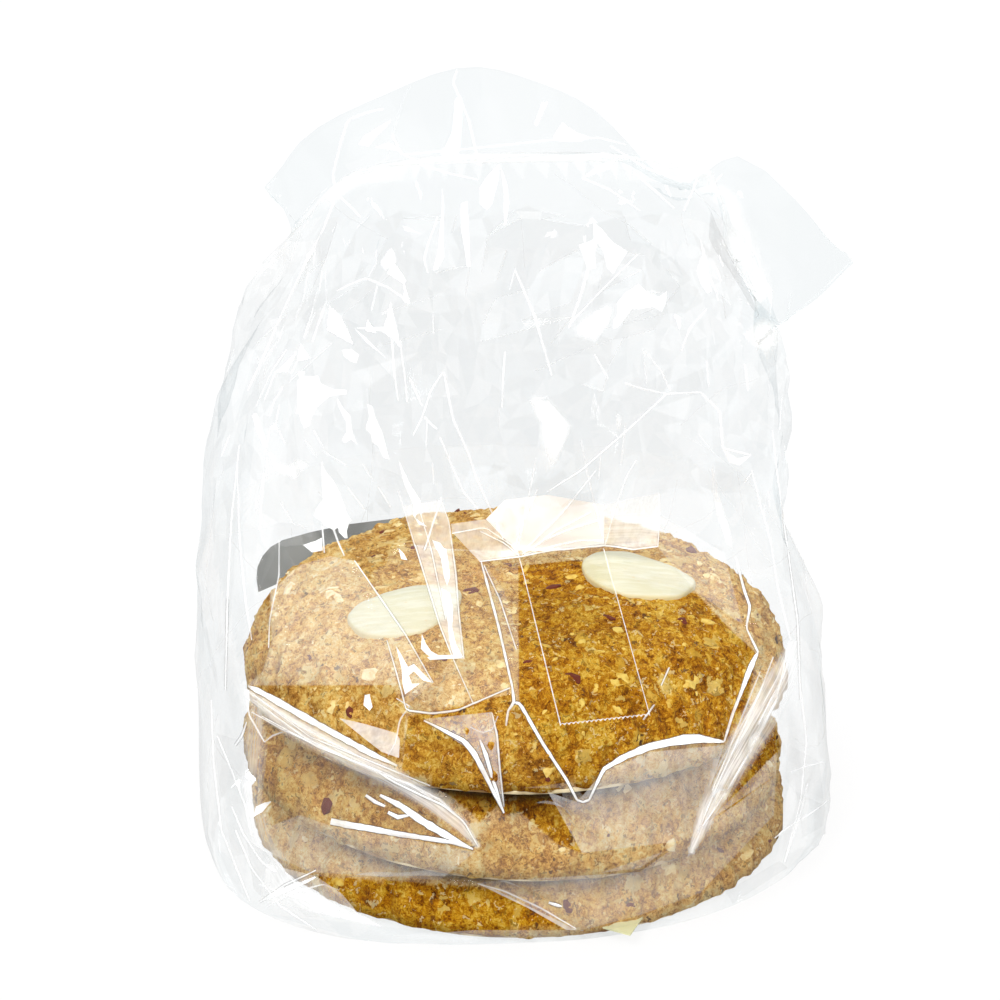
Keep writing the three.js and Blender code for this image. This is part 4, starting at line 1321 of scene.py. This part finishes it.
GLEAMS = {
    # name: how white it is, and its outline in columns and rows
    "foot_sliver": (0.9, ((259, 902), (278, 889), (314, 877), (316, 878), (285, 893))),
    "dot": (1.0, ((365, 694), (370, 693), (373, 707), (370, 711), (364, 705))),
    "bow_leaf": (1.0, (
        (396, 647), (401, 655), (408, 668), (414, 665), (424, 675), (432, 683), (423, 681), (414, 672),
        (409, 676), (412, 684), (420, 684), (406, 694), (403, 684), (402, 670),
    )),
    "shelf_bar": (0.9, ((427, 658), (440, 656), (460, 656), (461, 659), (445, 660), (430, 661))),
    "tall_shard": (0.95, (
        (321, 459), (325, 470), (333, 480), (340, 493), (344, 506), (346, 513), (351, 520), (346, 524),
        (336, 529), (333, 531), (324, 526), (318, 520), (313, 516), (315, 509), (322, 500), (321, 484),
    )),
    "tall_shard_side": (0.95, ((337, 528), (348, 524), (346, 532), (347, 539), (344, 539), (338, 533))),
    "crescent_shard": (1.0, ((302, 545), (315, 541), (321, 538), (322, 551), (311, 553))),
    "side_patch": (0.95, (
        (297, 381), (302, 376), (311, 376), (318, 376), (321, 384), (333, 389), (346, 390), (346, 394),
        (335, 395), (328, 397), (317, 407), (312, 416), (309, 426), (304, 428), (300, 420), (299, 413),
        (295, 414), (297, 407),
    )),
    "side_patch_top": (0.8, ((298, 372), (305, 371), (304, 375), (299, 378))),
    "shoulder_blob": (0.9, ((342, 350), (351, 349), (359, 355), (356, 363), (350, 361), (344, 356))),
    "side_leaf": (0.9, (
        (337, 398), (342, 407), (350, 416), (351, 426), (353, 434), (357, 445), (351, 439), (344, 443),
        (342, 439), (346, 432), (346, 422), (338, 406),
    )),
    "side_leaf_right": (0.9, (
        (367, 404), (372, 406), (375, 417), (382, 432), (386, 448), (389, 459), (383, 457), (378, 446),
        (372, 442), (370, 433), (365, 428), (369, 417),
    )),
    "side_leaf_left": (0.85, (
        (253, 416), (257, 413), (261, 424), (265, 437), (267, 447), (263, 444), (258, 433),
    )),
    "side_crumple": (0.7, (
        (266, 449), (274, 455), (275, 462), (286, 464), (295, 457), (306, 461), (311, 464), (299, 473),
        (295, 482), (286, 476), (277, 473), (273, 464),
    )),
    "strip_left": (0.95, (
        (398, 459), (402, 468), (410, 484), (420, 500), (420, 506), (415, 517), (427, 526), (419, 524),
        (413, 515), (413, 504), (404, 484),
    )),
    "strip_drop": (1.0, ((398, 549), (403, 554), (407, 561), (401, 560))),
    "strip_right": (0.95, (
        (432, 539), (440, 542), (446, 550), (449, 567), (450, 578), (447, 587), (444, 578), (441, 560),
    )),
    "strip_right_low": (0.95, (
        (441, 589), (450, 594), (453, 610), (452, 628), (456, 645), (463, 658), (454, 659), (449, 640),
        (447, 620), (443, 604),
    )),
    "shelf_drop": (0.9, (
        (422, 635), (426, 645), (431, 652), (440, 657), (434, 660), (426, 655), (421, 650),
    )),
    "left_shard": (1.0, ((254, 817), (257, 806), (265, 802), (272, 801), (263, 812))),
    "right_band": (0.55, (
        (711, 458), (716, 470), (720, 492), (728, 520), (736, 556), (727, 545), (718, 520), (711, 490),
    )),
    "right_shard": (0.95, (
        (594, 223), (601, 229), (613, 243), (627, 252), (619, 264), (613, 274), (607, 267), (604, 252),
        (594, 236),
    )),
    "right_shard_left": (0.95, (
        (579, 245), (592, 241), (599, 238), (595, 252), (596, 268), (588, 270), (584, 257),
    )),
    "right_cluster": (0.95, (
        (617, 303), (625, 293), (638, 284), (647, 293), (658, 297), (666, 291), (665, 303), (661, 312),
        (652, 307), (638, 309), (631, 309), (626, 316), (619, 326), (613, 329), (613, 321), (618, 314),
    )),
    "right_mist": (0.70, ((564, 334), (592, 311), (615, 300), (610, 325), (596, 344))),
    "right_leaf": (0.95, (
        (700, 239), (704, 250), (708, 270), (712, 291), (708, 293), (700, 282), (697, 270), (702, 254),
    )),
    "mouth_patch": (0.8, (
        (554, 136), (562, 123), (576, 133), (590, 138), (580, 142), (564, 142), (553, 140),
    )),
    "mouth_bar": (0.8, ((542, 103), (548, 102), (537, 126), (534, 125))),
    "mouth_leaf": (0.85, (
        (392, 120), (386, 128), (375, 138), (369, 147), (365, 146), (359, 145), (364, 137), (375, 130),
    )),
    "mouth_leaf_low": (0.8, ((375, 148), (389, 143), (395, 146), (400, 152), (386, 149))),
    "neck_leaf": (0.95, (
        (499, 164), (498, 182), (492, 204), (487, 210), (480, 204), (480, 188), (487, 177),
    )),
    "neck_streak": (0.9, ((501, 168), (507, 184), (509, 202), (506, 224), (504, 226), (504, 193))),
    "neck_bar": (0.95, (
        (461, 204), (467, 202), (468, 220), (469, 242), (470, 267), (467, 267), (465, 251), (461, 229),
    )),
    "neck_leaf_left": (0.9, (
        (442, 188), (444, 206), (443, 229), (444, 258), (437, 270), (433, 270), (438, 251), (440, 229),
        (442, 211),
    )),
    "neck_wing": (0.8, ((582, 179), (596, 167), (616, 159), (610, 169), (592, 175))),
    "shoulder_patch": (0.6, (
        (378, 262), (384, 256), (391, 246), (395, 251), (398, 262), (393, 270), (384, 271),
    )),
    "shoulder_star": (0.95, (
        (391, 302), (394, 318), (398, 333), (399, 347), (392, 338), (382, 331), (354, 328), (384, 327),
        (388, 316),
    )),
    "shoulder_star_left": (0.9, ((354, 328), (366, 338), (382, 354), (388, 359), (375, 349), (366, 342))),
    "middle_fan": (0.70, ((522, 389), (550, 399), (574, 425), (548, 486), (541, 458), (538, 422))),
    "star_gleam": (0.7, ((613, 408), (622, 414), (620, 430), (616, 432))),
    "star_tail": (0.8, ((723, 448), (738, 458), (751, 455), (740, 465), (730, 462))),
}
FOLD_LIFT = 0.10 * MM
FOLD_RIDGE = 0.12 * MM
FOLD_STEP = 5.0
PIXEL_SIZE = DISTANCE / PIXELS_PER_TAN
# Across a crease: how far each row of points lies beyond its half breadth, how dark its painted shade is
# and its cover.
CREASE_ROWS = ((1.6, 1.0, 0.0), (0.7, 1.0, 0.95), (0.05, 0.0, 1.0), (None, 0.0, 1.0))
FULL_BORDER = 1.2
FINE_COVER = 0.45
UPPER_COVER = 0.75
UPPER_SLIM = 0.65
UNEVEN = 0.35
SOFT_COVER = 0.5
CLEAN_GLEAM = 0.75
HAIR_SEED = 11
HAIRLINES = 240
HAIR_FACING = 0.4
HAIR_COVER = (0.20, 0.65)
HAIR_WIDTH = (0.5, 1.3)
STRAY_SEED = 10
STRAY_FACING = -0.1
STRAY_FOOT = 4 * MM
STRAY_FOLDS = 45
STRAY_STEPS = 10
STRAY_LENGTH = (8 * MM, 40 * MM)
STRAY_WIDTH = (0.15 * MM, 0.45 * MM)
STRAY_COVER = 0.15

bag_tree = BVHTree.FromObject(film_bag, bpy.context.evaluated_depsgraph_get())
unseen_panes = np.flatnonzero(
    (face_array(film_mesh, "normal") @ camera_back < STRAY_FACING) & (pane_middles[:, 2] > STRAY_FOOT)
)


def crease_spine(way):
    """Places on the film along a crease, with the normal, a pixel's step across and a half breadth."""
    way = np.array(way, dtype=float)
    gone = np.concatenate(([0.0], np.cumsum(np.hypot(*np.diff(way[:, :2], axis=0).T))))
    at = np.linspace(0.0, gone[-1], max(5, round(gone[-1] / FOLD_STEP) + 1))
    column, row, breadth = (np.interp(at, gone, way[:, part]) for part in range(3))
    ahead = np.stack((np.gradient(column), np.gradient(row)), axis=1)
    ahead /= np.linalg.norm(ahead, axis=1)[:, None]
    spine = []
    for x, y, (along_x, along_y), wide in zip(column, row, ahead, breadth):
        middle, normal, _, _ = bag_tree.ray_cast(Vector(camera_place), sight_line(x, y))
        if middle is None:
            continue
        aside = sight_line(x - along_y, y + along_x)
        reach = (middle - Vector(camera_place)).dot(normal) / min(aside.dot(normal), -0.08)
        across = Vector(camera_place) + aside * reach - middle
        across = across.normalized() * min(across.length, 3 * PIXEL_SIZE)
        uneven = 1 + UNEVEN * noise.noise(Vector((x, y, 0.0)) / 7.0)
        spine.append((middle, normal, across, wide / 2 * uneven))
    return spine


def stray_spine(draw):
    """Places along a short crooked crease somewhere on the back or the sides of the bag."""
    at = unseen_panes[draw.randrange(len(unseen_panes))]
    place, normal, _, _ = bag_tree.find_nearest(Vector(pane_middles[at]))
    ahead = normal.orthogonal().normalized()
    ahead.rotate(Matrix.Rotation(draw.uniform(0, math.tau), 3, normal))
    ahead = (ahead + Vector((0, 0, draw.choice((-1, 1))))).normalized()
    length, wide = draw.uniform(*STRAY_LENGTH), draw.uniform(*STRAY_WIDTH) / PIXEL_SIZE
    spine = []
    for step in range(STRAY_STEPS):
        taper = math.sin(math.pi * (step + 0.5) / STRAY_STEPS)
        across = ahead.cross(normal).normalized()
        spine.append((place, normal, across * PIXEL_SIZE, wide * taper / 2))
        ahead = (ahead + across * draw.gauss(0, 0.12)).normalized()
        place, normal, _, _ = bag_tree.find_nearest(place + ahead * length / STRAY_STEPS)
    return spine


def crisp_edges():
    """The longest and sharpest creases between the crisp panes: pairs of places with the normal there."""
    bm = bmesh.new()
    bm.from_mesh(film_mesh)
    found = []
    for edge in bm.edges:
        low, high = sorted(vertex.co.z for vertex in edge.verts)
        if low > CRISP_FOOT and high < CRISP_TOP and len(edge.link_faces) == 2:
            normal = (edge.link_faces[0].normal + edge.link_faces[1].normal).normalized()
            sharp = edge.calc_length() * edge.calc_face_angle(0.0)
            sharp *= abs(normal.dot(Vector(camera_back))) > HAIR_FACING
            found.append((sharp, *(vertex.co.copy() for vertex in edge.verts), normal))
    bm.free()
    return sorted(found, key=lambda crease: -crease[0])[:HAIRLINES]


def hair_spine(start, end, normal, wide):
    """Places along one crease between two panes."""
    across = (end - start).cross(normal).normalized() * PIXEL_SIZE
    tapers = {0.0: 0.4, 0.25: 0.9, 0.5: 1.0, 0.75: 0.9, 1.0: 0.4}
    return [(start.lerp(end, at), normal, across, wide / 2 * taper) for at, taper in tapers.items()]


def add_crease(bm, spine, layers, strength=None):
    """A low ridge along a spine, painted white as a highlight, with a thin line of painted shade on
    either side over the stack.
    """
    last = len(CREASE_ROWS) - 1
    made = bmesh.ops.create_grid(bm, x_segments=2 * last, y_segments=len(spine) - 1, size=1.0)["verts"]
    for vertex in made:
        column = round((vertex.co.x + 1) * last) - last
        middle, normal, across, half = spine[round((vertex.co.y + 1) / 2 * (len(spine) - 1))]
        beyond, dark, cover = CREASE_ROWS[last - abs(column)]
        on_stack = middle.z < STACK_TOP and strength is None
        slim = 1.0 if on_stack else UPPER_SLIM
        aside = 0.0 if beyond is None else math.copysign(max(half + beyond, 0.1) * slim, column)
        ridge = FOLD_RIDGE if beyond is None else 0.0
        vertex.co = middle + across * aside + normal * (FOLD_LIFT + ridge)
        vertex.co.z = max(vertex.co.z, FOLD_LIFT / 2)
        vertex[layers["dark"]] = dark if on_stack else 0.0
        if on_stack:
            full = min(half / FULL_BORDER, 1.0)
            cover *= FINE_COVER + (1 - FINE_COVER) * full
            vertex[layers["cover"]] = cover * (1 - dark * 0.65 * (1 - full))
        else:
            vertex[layers["cover"]] = cover * (strength or UPPER_COVER) * (1 - dark * 0.75)


def add_gleam(bm, outline, layers, strength):
    """A painted highlight laid close on the bag, with a clean edge if bright and a fading one if faint.
    """
    corners = [bm.verts.new((*pixel, 0.0)) for pixel in outline]
    sliver = bm.faces.new(corners)
    sliver.normal_update()
    parts = bmesh.ops.triangulate(bm, faces=[sliver])["faces"]
    sides = list({edge for face in parts for edge in face.edges})
    cut = bmesh.ops.subdivide_edges(bm, edges=sides, cuts=2, use_grid_fill=True)["geom"]
    faces = [item for item in cut if isinstance(item, bmesh.types.BMFace)]
    points = {vertex for face in faces for vertex in face.verts}
    rim = {vertex for vertex in points if vertex.is_boundary}
    for vertex in points:
        place, normal, _, _ = bag_tree.ray_cast(Vector(camera_place), sight_line(*vertex.co.xy))
        vertex[layers["cover"]] = strength if strength > CLEAN_GLEAM or vertex not in rim else 0.0
        vertex.co = place + normal * FOLD_LIFT * 2
    for face in faces:
        face.normal_update()
        if face.normal.dot(Vector(camera_back)) < 0:
            face.normal_flip()


def crease_highlight_material():
    """A painted highlight of a crease, white and glowing a little, fading here and there, with painted
    shade along its borders.
    """
    material, place = new_material("crease_highlight")
    dark = place.attribute("dark")
    base = dark.blend(colour(0.97, 0.98, 0.98), colour(0.10, 0.08, 0.06))
    glow = dark.blend(colour(1, 1, 1), colour(0, 0, 0))
    highlight_fade = place.noise(6 * MM, 4.0).between(0.30, 0.60)
    cover = place.attribute("cover") * (0.55 + highlight_fade * 0.45)
    shader = place.node("ShaderNodeBsdfPrincipled", {}, {
        "Base Color": base,
        "Roughness": 0.3,
        "Alpha": cover,
        "Emission Color": glow,
        "Emission Strength": 0.25,
    })
    set_surface(place, shader)
    return material


bm = bmesh.new()
fold_layers = {name: bm.verts.layers.float.new(name) for name in ("dark", "cover")}
for way in CREASES.values():
    add_crease(bm, crease_spine(way), fold_layers)
for way in SOFT_CREASES.values():
    add_crease(bm, crease_spine(way), fold_layers, SOFT_COVER)
for strength, outline in GLEAMS.values():
    add_gleam(bm, outline, fold_layers, strength)
hair_draw = random.Random(HAIR_SEED)
for _, start, end, normal in crisp_edges():
    spine = hair_spine(start, end, normal, hair_draw.uniform(*HAIR_WIDTH))
    add_crease(bm, spine, fold_layers, hair_draw.uniform(*HAIR_COVER))
stray_draw = random.Random(STRAY_SEED)
for _ in range(STRAY_FOLDS):
    add_crease(bm, stray_spine(stray_draw), fold_layers, STRAY_COVER)
bmesh.ops.triangulate(bm, faces=bm.faces[:])
fold_mesh = bpy.data.meshes.new("crease_highlights")
bm.to_mesh(fold_mesh)
bm.free()
fold_mesh.materials.append(crease_highlight_material())
crease_highlights = new_piece("crease_highlights", fold_mesh)
crease_highlights.visible_glossy = False
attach(crease_highlights, "root")
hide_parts("bag")


# Grey sheets on the film: at the back left one darkens the far wall behind the upper gingerbread,
# and beside the neck and low on the walls faint ones are painted shade on the panes there.
GREY_SHEETS = {
    # name: how grey it is, whether it lies on the far wall, and its outline in columns and rows
    "back_crescent": (0.85, True, (
        (258, 592), (256, 579), (257, 567), (262, 556), (270, 547), (282, 540), (310, 532), (348, 524),
        (405, 517), (404, 534), (342, 552), (297, 575),
    )),
    "neck_shade_sheet": (0.16, False, (
        (711, 211), (717, 225), (727, 245), (737, 266), (750, 293), (759, 314), (753, 309), (730, 270),
        (716, 252), (709, 238),
    )),
    "left_wall": (0.06, False, ((216, 733), (246, 743), (253, 779), (246, 807), (221, 797), (214, 761))),
    "left_wall_low": (0.04, False, ((221, 797), (246, 807), (257, 825), (246, 854), (232, 857))),
    "left_foot": (0.10, False, ((246, 839), (271, 857), (285, 875), (264, 900), (253, 889))),
    "left_foot_front": (0.10, False, ((271, 871), (317, 868), (317, 882), (282, 896))),
    "left_foot_low": (0.05, False, ((282, 896), (317, 882), (349, 903), (356, 914), (307, 918))),
    "right_wall": (0.04, False, ((788, 744), (820, 762), (824, 800), (800, 800), (786, 779))),
    "right_ear": (0.06, False, ((796, 791), (826, 806), (824, 826), (803, 838))),
    "right_foot": (0.06, False, ((726, 892), (780, 861), (788, 868), (733, 904))),
}


def far_wall(pixel):
    """The last place where the line of sight through a pixel meets the bag."""
    start, direction = Vector(camera_place), sight_line(*pixel)
    place, normal = None, None
    while True:
        hit, hit_normal, _, _ = bag_tree.ray_cast(start, direction)
        if hit is None or hit.z < 1 * MM:
            return place, normal
        place, normal = hit, hit_normal
        start = hit + direction * 0.01 * MM


def grey_sheet_material():
    material, place = new_material("grey_sheet")
    streak = place.noise(13 * MM, 2.0).between(0.30, 0.70)
    grey = streak.blend(colour(0.12, 0.135, 0.135), colour(0.32, 0.345, 0.345))
    shader = place.node("ShaderNodeBsdfPrincipled", {}, {
        "Base Color": grey,
        "Roughness": 0.35,
        "Alpha": place.attribute("cover"),
    })
    set_surface(place, shader)
    return material


bm = bmesh.new()
cover_layer = bm.verts.layers.float.new("cover")
for strength, is_far, outline in GREY_SHEETS.values():
    corners = []
    for pixel in outline:
        if is_far:
            place, normal = far_wall(pixel)
        else:
            place, normal, _, _ = bag_tree.ray_cast(Vector(camera_place), sight_line(*pixel))
        corners.append(bm.verts.new(place - normal * FOLD_LIFT))
        corners[-1][cover_layer] = strength
    bm.faces.new(corners)
bmesh.ops.triangulate(bm, faces=bm.faces[:])
grey_sheet_mesh = bpy.data.meshes.new("film_grey_sheets")
bm.to_mesh(grey_sheet_mesh)
bm.free()
grey_sheet_mesh.materials.append(grey_sheet_material())
film_grey_sheets = new_piece("film_grey_sheets", grey_sheet_mesh)
film_grey_sheets.visible_glossy = False
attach(film_grey_sheets, "root")
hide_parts("bag")


# The tape: a short strip of clear tape, torn off on a saw-toothed edge, that holds the pleat down.
# It lies smooth on the film, and only its borders and the toothed end show, with a painted sheen.
TAPE_STEPS = 150
TAPE_ACROSS = 90
TAPE_LIFT = 0.14 * MM
TAPE_TOP = ((519, 559), (604, 549))
TAPE_END = ((560, 725), (650, 715))
TOOTH = 2.6
TEETH = 20
TAPE_ROUNDS = 6
TAPE_BORDER_SHEEN = 0.55

bm = bmesh.new()
bmesh.ops.create_grid(bm, x_segments=TAPE_ACROSS, y_segments=TAPE_STEPS, size=0.5)
tape_rim = [vertex.is_boundary and vertex.co.y < 0.499 for vertex in bm.verts]
for vertex in bm.verts:
    across = vertex.co.x + 0.5
    down = 0.5 - vertex.co.y
    upper = Vector(TAPE_TOP[0]).lerp(Vector(TAPE_TOP[1]), across)
    lower = Vector(TAPE_END[0]).lerp(Vector(TAPE_END[1]), across)
    lower.y += TOOTH * (2 * abs((across * TEETH) % 1 - 0.5) - 0.5)
    pixel = upper.lerp(lower, down)
    hit, normal, _, _ = bag_tree.ray_cast(Vector(camera_place), sight_line(*pixel))
    vertex.co = hit + normal * TAPE_LIFT
relax(bm, [vertex for vertex in bm.verts if not vertex.is_boundary], TAPE_ROUNDS)
tape_mesh = bpy.data.meshes.new("tape_strip")
bm.to_mesh(tape_mesh)
bm.free()
tape_border = [any(tape_rim[vertex] for vertex in polygon.vertices) for polygon in tape_mesh.polygons]
set_face_attribute(tape_mesh, "haze", np.where(tape_border, TAPE_BORDER_SHEEN, 0.0))
set_face_attribute(tape_mesh, "clings", np.full(len(tape_mesh.polygons), 1.0))
set_face_attribute(tape_mesh, "shade", np.zeros(len(tape_mesh.polygons)))
TAPE_TINT = colour(0.96, 0.955, 0.92)
tape_mesh.materials.append(film_material("clear_tape", TAPE_TINT, TAPE_TINT, 0.05, 0.06))
tape_mesh.shade_smooth()
tape_strip = new_piece("tape_strip", tape_mesh)
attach(tape_strip, "root")
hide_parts("tape")


# The label: a plain pale yellow paper under the stack, its front corner curled up a little.
# It is thin and a little fibrous, and the weight of the stack holds it.
LABEL_COLOUR = colour(0.74, 0.73, 0.42)
LABEL_FIBRE = colour(0.78, 0.77, 0.48)
LABEL_CUTS = 14
LABEL_CURL = 26 * MM
LABEL_ROLL = 1.2
LABEL_CORNER = Vector((26.4 * MM, -39.6 * MM, 0.0))
LABEL_CURLED = Vector((-8.0 * MM, -8.6 * MM, 2.5 * MM))
bm = bmesh.new()
bm.from_mesh(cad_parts["label"].data)
bmesh.ops.remove_doubles(bm, verts=bm.verts, dist=1e-6)
bmesh.ops.subdivide_edges(bm, edges=bm.edges[:], cuts=LABEL_CUTS, use_grid_fill=True)
for vertex in bm.verts:
    curl = max(0.0, 1 - (vertex.co - LABEL_CORNER).length / LABEL_CURL)
    vertex.co += LABEL_CURLED * curl ** LABEL_ROLL
label_mesh = bpy.data.meshes.new("paper_label")
bm.to_mesh(label_mesh)
bm.free()


def label_material():
    material, place = new_material("label_paper")
    fibre = place.noise(1.2 * MM, 5.0).between(0.3, 0.75)
    base = fibre.blend(LABEL_COLOUR, LABEL_FIBRE)
    shader = place.node("ShaderNodeBsdfPrincipled", {}, {"Base Color": base, "Roughness": 0.65})
    set_surface(place, shader)
    return material


label_mesh.materials.append(label_material())
paper_label = new_piece("paper_label", label_mesh)
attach(paper_label, "root")
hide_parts("label")


# The studio: a white sweep that glows a little, soft boxes around the pack,
# and small lamps that only show as sparks on the film.
FLOOR_SIZE = 6.0
FLOOR_WHITE = colour(1, 1, 1)
FLOOR_STRENGTH = 1.035
FLOOR_GLOW = 0.82
SHADOW_REACH = (0.08, 0.14)


def floor_material():
    material, place = new_material("white_sweep")
    matt = place.node("ShaderNodeBsdfDiffuse", {}, {"Color": colour(0.8, 0.8, 0.8)})
    glow = place.node("ShaderNodeEmission", {}, {"Color": FLOOR_WHITE, "Strength": FLOOR_STRENGTH})
    from_pack = place.node("ShaderNodeVectorMath", {"operation": "LENGTH"}, {0: place}, 1)
    lit = FLOOR_GLOW + from_pack.between(*SHADOW_REACH) * (1 - FLOOR_GLOW)
    set_surface(place, place.node("ShaderNodeMixShader", {}, {0: lit, 1: matt, 2: glow}))
    return material


bm = bmesh.new()
bmesh.ops.create_grid(bm, x_segments=1, y_segments=1, size=FLOOR_SIZE / 2)
floor_mesh = bpy.data.meshes.new("floor")
bm.to_mesh(floor_mesh)
bm.free()
floor_mesh.materials.append(floor_material())
floor = new_piece("floor", floor_mesh)
floor.visible_glossy = False
floor.visible_diffuse = False

SOFT_BOXES = {
    # name: direction from the pack (azimuth from +X, elevation), distance, width, height, radiance
    "key": (-125.0, 52.0, 1.4, 0.62, 0.62, 9.0),
    "fill": (-52.0, 40.0, 1.5, 0.40, 0.80, 6.0),
    "front": (-90.0, 14.0, 1.6, 0.90, 0.30, 5.0),
    "top": (90.0, 80.0, 1.5, 0.60, 0.40, 2.5),
    "back": (90.0, 36.0, 1.5, 0.80, 0.50, 4.5),
}
LAMP_AIM = Vector((0, 0, 0.06))
GLINTS = {
    # the small lamps, with the same measures
    "spark_left": (-118.0, 46.0, 1.4, 0.10, 0.34, 26.0),
    "spark_right": (-58.0, 38.0, 1.5, 0.08, 0.34, 26.0),
    "spark_back": (60.0, 34.0, 1.4, 0.08, 0.40, 22.0),
    "spark_side": (165.0, 30.0, 1.4, 0.08, 0.40, 22.0),
}


def hang_lamp(name, azimuth, elevation, distance, width, height, radiance):
    lamp = bpy.data.lights.new(name, "AREA")
    lamp.shape = "RECTANGLE"
    lamp.size = width
    lamp.size_y = height
    lamp.energy = radiance * math.pi * width * height
    direction = Vector((
        math.cos(math.radians(elevation)) * math.cos(math.radians(azimuth)),
        math.cos(math.radians(elevation)) * math.sin(math.radians(azimuth)),
        math.sin(math.radians(elevation)),
    ))
    box = bpy.data.objects.new(name, lamp)
    box.location = LAMP_AIM + direction * distance
    box.rotation_euler = direction.to_track_quat("Z", "Y").to_euler()
    bpy.context.collection.objects.link(box)
    return box


for box_name, measures in SOFT_BOXES.items():
    hang_lamp(box_name, *measures).visible_glossy = False
for box_name, measures in GLINTS.items():
    hang_lamp(box_name, *measures).visible_diffuse = False

world = bpy.data.worlds.new("studio")
world.use_nodes = True
world.node_tree.nodes.clear()
sky = Wire(world.node_tree)
seen = sky.node("ShaderNodeLightPath", {}, {}, 0)
mirrored = sky.node("ShaderNodeLightPath", {}, {}, 3)
white = sky.node("ShaderNodeBackground", {}, {"Color": colour(1, 1, 1), "Strength": 1.0})
patches = sky.node("ShaderNodeTexCoord", {}, {}, 0).noise(0.5, 1.0).between(0.42, 0.58)
room_glow = 0.50 + mirrored * (patches * 0.52 + 0.03)
room = sky.node("ShaderNodeBackground", {}, {"Color": colour(0.98, 0.99, 1.0), "Strength": room_glow})
shown = sky.node("ShaderNodeMixShader", {}, {0: seen, 1: room, 2: white})
sky.node("ShaderNodeOutputWorld", {}, {"Surface": shown})
bpy.context.scene.world = world
bpy.context.scene.view_settings.view_transform = "Standard"
